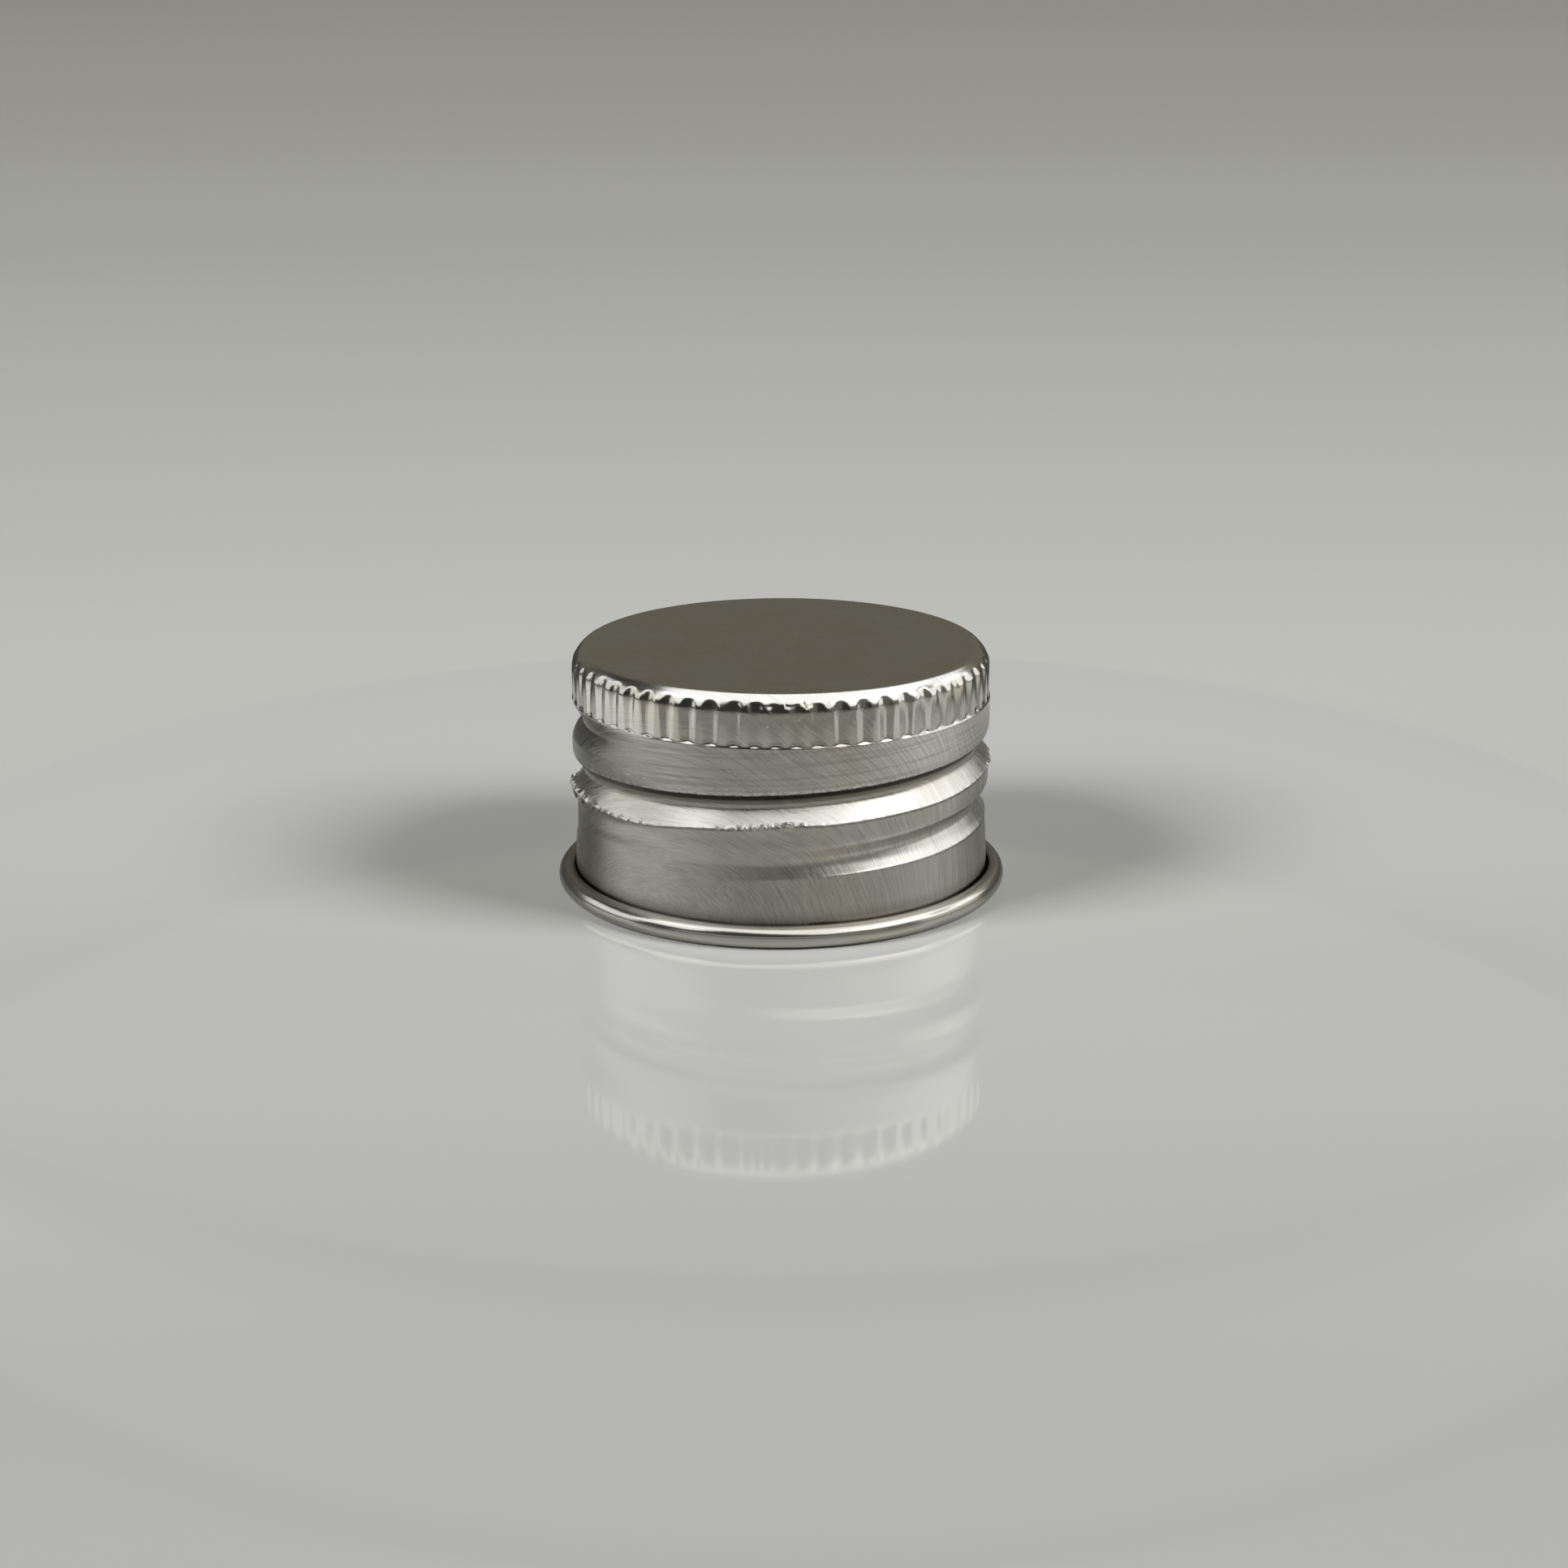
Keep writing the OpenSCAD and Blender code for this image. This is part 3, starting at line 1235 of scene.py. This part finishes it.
def new_material(name: str) -> tuple[bpy.types.Material, Graph]:
    """Makes an empty node material.

    Args:
        name: The material's name.

    Returns:
        The material and its graph.
    """
    material = bpy.data.materials.new(name)
    material.use_nodes = True
    return material, Graph(material.node_tree)


@dataclass(frozen=True)
class Step:
    """A smooth step: nothing up to one value and the full amount from another on, either way round."""

    none_at: float
    full_at: float
    amount: float = 1.0

    def of(self, value: Value) -> Value:
        """Returns the amount at a value."""
        return value.rise(self.none_at, self.full_at) * self.amount


@dataclass(frozen=True)
class Grain:
    """A noise from 0 to 1, with its scales along three axes."""

    scales: tuple[float, float, float]
    detail: float = 2.0
    rough: float = 0.5

    def at(self, graph: Graph, *place: Value | float) -> Value:
        """Adds the noise.

        Args:
            graph: The material's nodes.
            *place: Where it is read, as three numbers.

        Returns:
            The noise there.
        """
        scaled = dict(enumerate(axis * scale for axis, scale in zip(place, self.scales)))
        vector = graph.add("ShaderNodeCombineXYZ", sockets=scaled).outputs[0]
        sockets = {"Vector": vector, "Scale": 1.0, "Detail": self.detail, "Roughness": self.rough}
        return Value(graph, graph.add("ShaderNodeTexNoise", sockets=sockets).outputs[0])


Layer = tuple[Value, Colour]


# ---------------------------------------------------------------- finishes


@dataclass(frozen=True)
class Scouring:
    """Hand scouring on the wall, in arcs round a point low on it."""

    azimuth: float = -36.0
    z: float = 0.4
    # How flat the arcs are. Over the thread they are rounder, and their middle lies lower
    flat: float = 1.45
    swelling_flat: float = 0.9
    swelling_drop: float = 4.0
    # Far to either side they run straighter
    straight: Step = Step(6.0, 22.0, -0.6)
    warp: Grain = Grain((0.16, 0.16, 0.16), 1.0)
    warp_by: float = 1.6
    # Scales away from the middle, round it and aside
    scratches: Grain = Grain((25.0, 5.5, 0.22), 3.0, 0.65)
    streaks: Grain = Grain((10.0, 3.6, 0.16))

    def grains(self, graph: Graph, x: Value, y: Value, z: Value, swelling: Value) -> tuple[Value, Value]:
        """Builds the scouring.

        Args:
            graph: The material's nodes.
            x: Place along X.
            y: Place along Y.
            z: Place along Z.
            swelling: Share of the swelling over the thread.

        Returns:
            The fine scratches and the coarser streaks, each from 0 to 1.
        """
        turn = math.radians(self.azimuth)
        front = x * math.sin(turn) - y * math.cos(turn)
        aside = x * math.cos(turn) + y * math.sin(turn)
        round_wall = abs(aside.angle_from(front)) * CapForm.grip_r
        flat = (1 + self.straight.of(round_wall)) * self.flat
        flat = flat * (1 - swelling) + self.swelling_flat * swelling
        up = (z - self.z + swelling * self.swelling_drop) * flat
        warp = self.warp.at(graph, x, y, z).swing() * self.warp_by
        away = (round_wall * round_wall + up * up).root() + warp
        sweep = up.angle_from(round_wall)
        return tuple(grain.at(graph, away, sweep, aside) for grain in (self.scratches, self.streaks))


@dataclass(frozen=True)
class Sheet:
    """What the finish knows at a point of the sheet: its place, its zones as shares, and its grains."""

    graph: Graph
    x: Value
    y: Value
    z: Value
    radius: Value
    bearing: Value
    top: Value
    grip: Value
    bead: Value
    wall: Value
    swelling: Value
    scratches: Value
    streaks: Value
    fine: Value
    brushed: Value


@dataclass(frozen=True)
class Nick:
    """A short bright scratch in the grip band, in millimetres, and in degrees for azimuth and slope."""

    azimuth: float
    z: float
    length: float
    slope: float
    width: float

    def at(self, sheet: Sheet, edge: Step) -> Value:
        """Works out how far a point of the sheet is in the nick.

        Args:
            sheet: The point's place and zones.
            edge: How the nick fades out, where 1 is its edge.

        Returns:
            A share from 0 to 1.
        """
        slope = math.radians(self.slope)
        aside = (sheet.bearing - self.azimuth) * (math.radians(1) * CapForm.grip_r)
        above = sheet.z - self.z
        length = (aside * math.cos(slope) + above * math.sin(slope)) * (2 / self.length)
        width = (above * math.cos(slope) - aside * math.sin(slope)) * (2 / self.width)
        return edge.of(length * length + width * width) * sheet.grip


@dataclass(frozen=True)
class BrushedAluminium:
    """Bright rolled sheet, scoured by hand on the wall, satin on the top and polished on the grip."""

    colour: Colour = (0.72, 0.71, 0.66, 1)
    warm: Colour = (0.70, 0.655, 0.555, 1)
    # Painted shade in the groove, the slit and the curl's hollow
    painted_hollow_shade: Colour = (0.050, 0.046, 0.036, 1)
    # Bright scratches, nicks and edge wear, and painted highlights on the wall, the flank and the shoulder
    worn_and_painted_sheen: Colour = (0.93, 0.92, 0.89, 1)
    # The roller's lines and the top's brushing, and painted shade on the curl and the wall
    dull_and_painted_shade: Colour = (0.30, 0.29, 0.25, 1)
    # Painted shade on the swelling over the thread
    painted_swelling_shade: Colour = (0.15, 0.145, 0.125, 1)
    scratched: Colour = (0.30, 0.29, 0.265, 1)
    # Painted shade in the corner between the curl and the wall
    painted_corner_shade: Colour = (0.30, 0.29, 0.255, 1)
    top_roughness: float = 0.25
    wall_roughness: float = 0.30
    polished_roughness: float = 0.17
    bead_roughness: float = 0.20
    # How far the grains change the roughness
    scratch_roughness: float = 0.25
    streak_roughness: float = 0.1
    polish_roughness: float = 0.1
    scuff_roughness: float = 0.2
    satin_roughness: float = 0.1
    brushed_roughness: float = 0.08
    patch_roughness: float = 0.22
    nick_roughness: float = 0.25
    # Depth of the relief, and how much of each grain it has
    relief: float = 0.0075
    grip_relief: float = 0.3
    bead_relief: float = 0.05
    streak_relief: float = 1.2
    satin_relief: float = 0.5
    fine_relief: float = 0.1
    nick_relief: float = 2.0
    # The zones of the sheet, by height and by radius
    top_z: Step = Step(14.35, 14.43)
    top_r: Step = Step(11.55, 11.20)
    grip_z: Step = Step(11.2, 11.65)
    bead_z: Step = Step(1.45, 1.15)
    bead_r: Step = Step(12.24, 12.32)
    swelling_z: Step = Step(8.1, 9.1)
    plain_z: Step = Step(6.6, 5.8)
    # Painted shade and painted highlights by azimuth on the plain wall, and on the swelling over the thread
    wall_patches: tuple[Stretch, ...] = (
        Stretch(-68, 23, -0.85), Stretch(-35, 19, 0.95), Stretch(-4, 20, -0.28), Stretch(44, 28, 0.20),
        Stretch(125, 50, -0.30),
    )
    swelling_patches: tuple[Stretch, ...] = (
        Stretch(-60, 34, -0.85), Stretch(-29, 12, 0.65), Stretch(-6, 22, -0.15), Stretch(44, 30, 0.85),
    )
    nicks: tuple[Nick, ...] = (
        Nick(3.6, 13.13, 0.26, -52, 0.06),
        Nick(4.9, 13.18, 0.42, 48, 0.07),
        Nick(7.2, 13.84, 0.34, 38, 0.17),
        Nick(-3.5, 12.75, 0.20, 30, 0.03),
        Nick(19.5, 12.9, 0.30, -60, 0.03),
    )
    nick_edge: Step = Step(1.15, 0.55)
    nick_shine: float = 0.9
    scouring: Scouring = Scouring()
    clouds: Grain = Grain((0.22, 0.22, 0.22))
    clouded: Step = Step(0.38, 0.66, 0.7)
    fine: Grain = Grain((9.0, 9.0, 9.0), rough=0.6)
    # The top's brushing: shares of X and of Y along it and across it
    brushed: Grain = Grain((1.0, 1.0, 1.0), 3.0, 0.6)
    brushed_along: tuple[float, float] = (0.3, 0.05)
    brushed_across: tuple[float, float] = (-0.6, 8.0)
    brushed_dark: Step = Step(0.56, 0.36, 0.10)
    # Fine lines that the roller left in the swelling, all round but at the back
    rolled: Grain = Grain((6.0, 0.02, 1.0), rough=0.6)
    rolled_dark: Step = Step(0.52, 0.36, 0.35)
    rolled_front: Step = Step(150, 110)
    chips: Grain = Grain((3.2, 3.2, 7.0), rough=0.6)
    chipped: Step = Step(0.46, 0.56)
    # Scratches show dark and bright, and how much of that the grip band has
    dark_scratches: Step = Step(0.56, 0.36, 0.36)
    dark_streaks: Step = Step(0.54, 0.34, 0.15)
    dark_on_grip: float = 0.5
    bright_scratches: Step = Step(0.54, 0.70, 0.45)
    bright_streaks: Step = Step(0.52, 0.70, 0.18)
    bright_on_grip: float = 0.3
    # Painted shade on the curl's outer upper side, which is also scuffed rougher, and painted shade
    # in the corner behind it
    scuffed_and_shaded_r: Step = Step(13.02, 12.90)
    curl_top_shade_z: Step = Step(0.9, 1.05, 0.85)
    corner_z: Step = Step(2.3, 1.3, 0.55)
    corner_r: Step = Step(12.85, 12.55)
    # Painted highlight: the shoulder is painted brighter
    painted_shoulder_highlight: Step = Step(13.9, 14.15, 0.9)

    def make(self) -> bpy.types.Material:
        """Builds the material."""
        material, graph = new_material("brushed aluminium")
        sheet = self.lay_out(graph)
        patches = list(self.patches(sheet))
        nicks = [nick.at(sheet, self.nick_edge) for nick in self.nicks]
        roughness, relief = self.roughness(sheet), self.height(sheet)
        for share, colour in patches:
            if colour == self.worn_and_painted_sheen:
                roughness = roughness + share * self.patch_roughness
        for nick in nicks:
            roughness = roughness + nick * self.nick_roughness
            relief = relief - nick * self.nick_relief
        shade = self.colour
        layers = (
            (self.clouded.of(self.clouds.at(graph, sheet.x, sheet.y, sheet.z)), self.warm),
            # Painted shade on the curl's upper side
            (sheet.bead * self.scuffed_and_shaded_r.of(sheet.radius) * self.curl_top_shade_z.of(sheet.z), self.dull_and_painted_shade),
            # Painted shade and painted highlights on the wall, by azimuth
            *patches,
            *self.wear(sheet),
            *((nick * self.nick_shine, self.worn_and_painted_sheen) for nick in nicks),
        )
        for share, colour in layers:
            shade = graph.mix_colour(share, shade, colour)
        normal = graph.bump(relief, 1.0, self.relief * MM)
        graph.surface({"Base Color": shade, "Metallic": 1.0, "Roughness": roughness, "Normal": normal})
        return material

    def lay_out(self, graph: Graph) -> Sheet:
        """Builds the zones and the grains.

        Args:
            graph: The material's nodes.

        Returns:
            What the rest of the finish works with.
        """
        x, y, z = graph.millimetres()
        radius = (x * x + y * y).root()
        above_wall = self.grip_z.of(z)
        top = self.top_z.of(z) * self.top_r.of(radius)
        bead = self.bead_z.of(z) * self.bead_r.of(radius)
        swelling = self.swelling_z.of(z)
        scratches, streaks = self.scouring.grains(graph, x, y, z, swelling)
        along_top, across_top = (x * a + y * b for a, b in (self.brushed_along, self.brushed_across))
        return Sheet(
            graph=graph,
            x=x,
            y=y,
            z=z,
            radius=radius,
            bearing=x.angle_from(y * -1) * math.degrees(1),
            top=top,
            grip=above_wall * (1 - top),
            bead=bead,
            wall=(1 - above_wall) * (1 - bead),
            swelling=swelling,
            scratches=scratches,
            streaks=streaks,
            fine=self.fine.at(graph, x, y, z),
            brushed=self.brushed.at(graph, along_top, across_top, 0.0),
        )

    def roughness(self, sheet: Sheet) -> Value:
        """Works out the roughness without patches and nicks.

        Args:
            sheet: The zones and the grains.

        Returns:
            The roughness.
        """
        scratches, streaks = sheet.scratches.swing(), sheet.streaks.swing()
        scoured = self.wall_roughness + scratches * self.scratch_roughness + streaks * self.streak_roughness
        polished = self.polished_roughness + scratches * self.polish_roughness
        rolled = self.bead_roughness + self.scuffed_and_shaded_r.of(sheet.radius) * self.scuff_roughness
        satin = self.top_roughness + sheet.fine.swing() * self.satin_roughness
        satin = satin + sheet.brushed.swing() * self.brushed_roughness
        return sheet.wall * scoured + sheet.grip * polished + sheet.bead * rolled + sheet.top * satin

    def height(self, sheet: Sheet) -> Value:
        """Works out the relief without nicks.

        Args:
            sheet: The zones and the grains.

        Returns:
            The height, in shares of the relief's depth.
        """
        scoured = sheet.wall + sheet.grip * self.grip_relief + sheet.bead * self.bead_relief
        scoured = sheet.scratches * scoured + sheet.streaks * sheet.wall * self.streak_relief
        return scoured + sheet.fine * (sheet.top * self.satin_relief + self.fine_relief)

    def patches(self, sheet: Sheet) -> Iterable[Layer]:
        """Works out the painted shade and the painted highlights of the wall.

        Args:
            sheet: The zones and the grains.

        Yields:
            The share and the colour of each.
        """
        plain = self.plain_z.of(sheet.z) * sheet.wall
        over = sheet.swelling * sheet.wall
        for places, zone, dark in (
            (self.wall_patches, plain, self.dull_and_painted_shade),
            (self.swelling_patches, over, self.painted_swelling_shade),
        ):
            for patch in places:
                near = abs(sheet.bearing - patch.middle).rise(patch.reach, 0)
                yield near * zone * abs(patch.amount), self.worn_and_painted_sheen if patch.amount > 0 else dark

    def wear(self, sheet: Sheet) -> tuple[Layer, ...]:
        """Works out lines, scratches, wear, painted highlights and shade, in the order they lie on the
        sheet.

        Args:
            sheet: The zones and the grains.

        Returns:
            The share and the colour of each.
        """
        graph, wall, grip = sheet.graph, sheet.wall, sheet.grip
        helix = sheet.z - sheet.bearing * (Groove.pitch / TURN)
        rolled = self.rolled_dark.of(self.rolled.at(graph, helix, sheet.bearing, 0.0))
        rolled = rolled * sheet.swelling * wall * self.rolled_front.of(abs(sheet.bearing))
        bright = self.bright_scratches.of(sheet.scratches) + self.bright_streaks.of(sheet.streaks)
        dark = self.dark_scratches.of(sheet.scratches) + self.dark_streaks.of(sheet.streaks)
        chips = self.chipped.of(self.chips.at(graph, sheet.x, sheet.y, sheet.z))
        return (
            (rolled, self.dull_and_painted_shade),
            (sheet.top * self.brushed_dark.of(sheet.brushed), self.dull_and_painted_shade),
            # Painted highlight on the groove's lower flank
            (graph.attribute("flank"), self.worn_and_painted_sheen),
            (bright * (wall + grip * self.bright_on_grip), self.worn_and_painted_sheen),
            # Painted highlight on the shoulder
            (self.painted_shoulder_highlight.of(sheet.z) * grip, self.worn_and_painted_sheen),
            (dark * (wall + grip * self.dark_on_grip), self.scratched),
            # Painted shade in the corner between the curl and the wall
            (self.corner_z.of(sheet.z) * self.corner_r.of(sheet.radius), self.painted_corner_shade),
            # Painted shade in the groove, the slit and the curl's hollow
            (graph.attribute("hollow"), self.painted_hollow_shade),
            (graph.attribute("edge") * chips, self.worn_and_painted_sheen),
        )


@dataclass(frozen=True)
class FoamLiner:
    """Closed-cell foam with a thin skin, slightly off white."""

    colour: Colour = (0.86, 0.86, 0.83, 1)
    shade: Colour = (0.76, 0.76, 0.72, 1)
    roughness: float = 0.55
    cells: Grain = Grain((5.0, 5.0, 5.0), 3.0, 0.6)
    clouds: Grain = Grain((0.6, 0.6, 0.6))
    cell_shade: Step = Step(0.35, 0.7, 0.5)
    cloud_shade: float = 0.3
    cell_roughness: float = 0.2
    cell_depth: float = 0.03
    cell_bump: float = 0.4

    def make(self) -> bpy.types.Material:
        """Builds the material."""
        material, graph = new_material("liner foam")
        place = graph.millimetres()
        cells = self.cells.at(graph, *place)
        share = self.cell_shade.of(cells) + self.clouds.at(graph, *place) * self.cloud_shade
        sockets = {
            "Base Color": graph.mix_colour(share, self.colour, self.shade),
            "Roughness": self.roughness + cells.swing() * self.cell_roughness,
            "Normal": graph.bump(cells, self.cell_bump, self.cell_depth * MM),
        }
        graph.surface(sockets)
        return material


@dataclass(frozen=True)
class PaleFloor:
    """Glossy pale board, a little darker towards the front, which mirrors the cap faintly."""

    # The board's shade at places from front to back, in millimetres along Y. It is painted light:
    # the board is painted darker at the front and brighter far behind
    shades: Table = (
        (-70, 0.440), (-20, 0.525), (15, 0.600), (60, 0.645), (260, 0.70), (430, 0.82), (800, 1.0),
    )
    green: float = 1.008
    blue: float = 0.972
    roughness: float = 0.05
    ior: float = 1.5
    # What the metal mirrors of the board: a painted shadow of the cap near it, brighter further out
    shaded: float = 0.31
    open_board: float = 0.76
    opening: Step = Step(28.0, 60.0)
    # Far behind the cap the lamps don't reach, and the board glows a little to the camera instead
    glow: float = 0.11
    glowing: Step = Step(300.0, 1600.0)

    def colour(self, level: float) -> Colour:
        """Returns the board's colour at a level of red."""
        return (level, level * self.green, level * self.blue, 1)

    def make(self) -> bpy.types.Material:
        """Builds the material."""
        material, graph = new_material("pale floor")
        x, y, _ = graph.millimetres()
        shade = self.colour(self.shades[0][1])
        for (start, _), (stop, level) in zip(self.shades, self.shades[1:]):
            shade = graph.mix_colour(y.rise(start, stop), shade, self.colour(level))
        opened = self.opening.of((x * x + y * y).root())
        mirrored = graph.mix_colour(opened, self.colour(self.shaded), self.colour(self.open_board))
        seen = Value(graph, graph.add("ShaderNodeLightPath").outputs["Is Camera Ray"])
        sockets = {
            "Base Color": graph.mix_colour(seen, mirrored, shade),
            "Roughness": self.roughness,
            "IOR": self.ior,
            "Emission Color": graph.mix_colour(seen * self.glowing.of(y), BLACK, self.colour(self.glow)),
            "Emission Strength": 1.0,
        }
        graph.surface(sockets)
        return material


# ---------------------------------------------------------------- pieces


@dataclass(frozen=True)
class Shell:
    """The cap's rolled sheet, which stands for the CAD shell."""

    finish: BrushedAluminium = BrushedAluminium()
    # How far the curl stays inside the CAD shell's width
    inside_box: float = 0.003

    def build(self) -> bpy.types.Object:
        """Builds the shell to the CAD shell's height and width, and dresses it."""
        low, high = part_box("shell")
        outer = min(high[0], -low[0], high[1], -low[1]) / MM - self.inside_box
        sheet = ShellMesh(CapForm(top_z=high[2] / MM, curl_outer=outer))
        piece = object_from(sheet.build(), "cap_shell", self.finish.make())
        sheet.paint(piece.data)
        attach(piece, BODY)
        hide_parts("shell")
        return piece


@dataclass(frozen=True)
class Liner:
    """The sealing disc under the top."""

    finish: FoamLiner = FoamLiner()

    def dress(self) -> bpy.types.Object:
        """Gives the CAD liner its finish."""
        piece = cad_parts["liner"]
        piece.data.materials.clear()
        piece.data.materials.append(self.finish.make())
        return piece


# ---------------------------------------------------------------- studio


class Lights(Enum):
    """What a lamp serves: matt surfaces, or only what bright metal mirrors."""

    MATT = "matt"
    METAL = "metal"


@dataclass(frozen=True)
class Softbox:
    """A rectangular lamp that faces the cap, with its sizes in metres."""

    name: str
    azimuth: float
    elevation: float
    distance: float
    width: float
    height: float
    radiance: float
    lights: Lights

    def place(self) -> bpy.types.Object:
        """Adds the lamp."""
        lamp = bpy.data.lights.new(self.name, "AREA")
        lamp.shape = "RECTANGLE"
        lamp.size = self.width
        lamp.size_y = self.height
        lamp.energy = self.radiance * math.pi * self.width * self.height
        level = math.cos(math.radians(self.elevation)) * self.distance
        spot = on_ring(self.azimuth, level, math.sin(math.radians(self.elevation)) * self.distance)
        made = bpy.data.objects.new(self.name, lamp)
        made.location = spot
        made.rotation_euler = (-spot).to_track_quat("-Z", "Y").to_euler()
        made.visible_camera = False
        made.visible_diffuse = self.lights is Lights.MATT
        made.visible_glossy = self.lights is Lights.METAL
        bpy.context.scene.collection.objects.link(made)
        return made


@dataclass(frozen=True)
class Screen:
    """A low screen or card bent round the cap, which only shows where the metal mirrors it."""

    name: str
    azimuth_from: float
    azimuth_to: float
    radiance: float
    blue: float = 0.92
    distance: float = 0.055
    height: float = 0.015
    # Its upper and lower edges fade, so that the floor mirrors no line
    fade: float = 0.005
    segments: int = 12

    def place(self) -> bpy.types.Object:
        """Adds the screen."""
        material, graph = new_material(self.name)
        top, fade = self.height / MM, self.fade / MM
        height = graph.millimetres()[2]
        lit = Step(0, fade).of(height) * Step(top, top - fade).of(height)
        shade = graph.mix_colour(lit, BLACK, (self.radiance, self.radiance, self.radiance * self.blue, 1))
        graph.surface({"Base Color": BLACK, "Emission Color": shade, "Emission Strength": 1.0})
        bm = grid_of(self.segments, 1)
        for vert in bm.verts:
            turn = blend(self.azimuth_from, self.azimuth_to, vert.co.x / self.segments)
            vert.co = on_ring(turn, self.distance, vert.co.y * self.height)
        screen = object_from(bm, self.name, material)
        screen.visible_camera = False
        screen.visible_diffuse = False
        screen.visible_shadow = False
        screen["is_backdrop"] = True
        return screen


@dataclass(frozen=True)
class View:
    """The camera, in metres, millimetres of lens and radians."""

    place: tuple[float, float, float] = (0.0, -0.18258, 0.06036)
    lens: float = 73.69
    sensor: float = 36.0
    near: float = 0.01
    far: float = 20.0
    pan: float = 0.0010
    tilt: float = 0.2902
    roll: float = -0.0024

    def add(self) -> bpy.types.Object:
        """Adds the camera and makes it the scene's own."""
        lens = bpy.data.cameras.new("camera")
        lens.lens = self.lens
        lens.sensor_width = self.sensor
        lens.clip_start = self.near
        lens.clip_end = self.far
        level = math.cos(self.tilt)
        forward = Vector((math.sin(self.pan) * level, math.cos(self.pan) * level, -math.sin(self.tilt)))
        turned = forward.to_track_quat("-Z", "Y").to_matrix() @ Matrix.Rotation(self.roll, 3, "Z")
        made = bpy.data.objects.new("camera", lens)
        made.location = self.place
        made.rotation_euler = turned.to_euler()
        bpy.context.scene.collection.objects.link(made)
        bpy.context.scene.camera = made
        return made


@dataclass(frozen=True)
class Surroundings:
    """What the metal mirrors past the lamps: nearly black, lighter to the right and behind the cap."""

    front: Colour = (0.030, 0.030, 0.027, 1)
    right: Colour = (0.135, 0.135, 0.125, 1)
    behind: Colour = (0.124, 0.116, 0.090, 1)
    # Where both begin and where they are full, as the direction's parts along X and along Y
    rightward: Step = Step(0.22, 0.55)
    backward: Step = Step(0.45, 0.88)

    def add(self) -> bpy.types.World:
        """Adds the world."""
        world = bpy.data.worlds.new("surroundings")
        bpy.context.scene.world = world
        world.use_nodes = True
        graph = Graph(world.node_tree)
        direction = graph.add("ShaderNodeTexCoord").outputs["Generated"]
        split = graph.add("ShaderNodeSeparateXYZ", sockets={0: direction}).outputs
        shade = graph.mix_colour(self.rightward.of(Value(graph, split[0])), self.front, self.right)
        shade = graph.mix_colour(self.backward.of(Value(graph, split[1])), shade, self.behind)
        background = graph.add("ShaderNodeBackground", sockets={"Color": shade, "Strength": 1.0})
        graph.add("ShaderNodeOutputWorld", sockets={"Surface": background.outputs[0]})
        return world


@dataclass(frozen=True)
class Studio:
    """Camera, floor, lamps and surroundings."""

    view: View = View()
    surroundings: Surroundings = Surroundings()
    floor: PaleFloor = PaleFloor()
    floor_half: float = 4.0
    floor_faces: int = 8
    boxes: tuple[Softbox, ...] = (
        Softbox("left_lamp", -61.0, 36.7, 1.60, 0.64, 0.64, 17.5, Lights.MATT),
        Softbox("right_lamp", 68.0, 36.1, 1.60, 0.64, 0.64, 17.5, Lights.MATT),
        Softbox("overhead", 55.0, 78.5, 0.50, 0.74, 1.00, 1.10, Lights.METAL),
        Softbox("left_front_panel", -66.0, 42.0, 0.55, 0.34, 0.26, 1.15, Lights.METAL),
        Softbox("left_panel", -100.0, 19.0, 0.55, 0.44, 0.27, 0.85, Lights.METAL),
        Softbox("right_front_panel", 66.0, 42.0, 0.55, 0.34, 0.26, 1.0, Lights.METAL),
        Softbox("right_panel", 104.0, 18.0, 0.55, 0.50, 0.30, 1.1, Lights.METAL),
        Softbox("right_back_panel", 126.0, 42.0, 0.55, 0.28, 0.26, 0.9, Lights.METAL),
    )
    screens: tuple[Screen, ...] = (
        Screen("front_screen", -50.0, 48.0, 0.26),
        Screen("left_screen", -170.0, -106.0, 0.05),
        Screen("right_screen", 108.0, 170.0, 0.06),
        Screen("right_card", 66.0, 108.0, 0.56),
    )

    def build(self) -> None:
        """Adds the whole studio."""
        self.view.add()
        self.add_floor()
        for thing in (*self.boxes, *self.screens):
            thing.place()
        self.surroundings.add()
        bpy.context.scene.view_settings.view_transform = "Standard"

    def add_floor(self) -> None:
        """Adds the floor that the cap stands on."""
        bm = bmesh.new()
        faces = self.floor_faces
        bmesh.ops.create_grid(bm, x_segments=faces, y_segments=faces, size=self.floor_half)
        object_from(bm, "floor", self.floor.make())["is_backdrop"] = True


def write_sizes() -> None:
    boxes = {"cad": cad_box, "visual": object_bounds()}
    {name: [list(corner) for corner in box] for name, box in boxes.items()}


def main() -> None:
    """Builds the studio and the cap, and reports each piece."""
    logging.basicConfig(level=logging.INFO, format="%(name)s: %(message)s")
    Studio().build()
    for piece in (Shell().build(), Liner().dress()):
        mesh = piece.data
        log.info("%s: %d vertices, %d faces", piece.name, len(mesh.vertices), len(mesh.polygons))
    write_sizes()


if __name__ == "__main__":
    main()
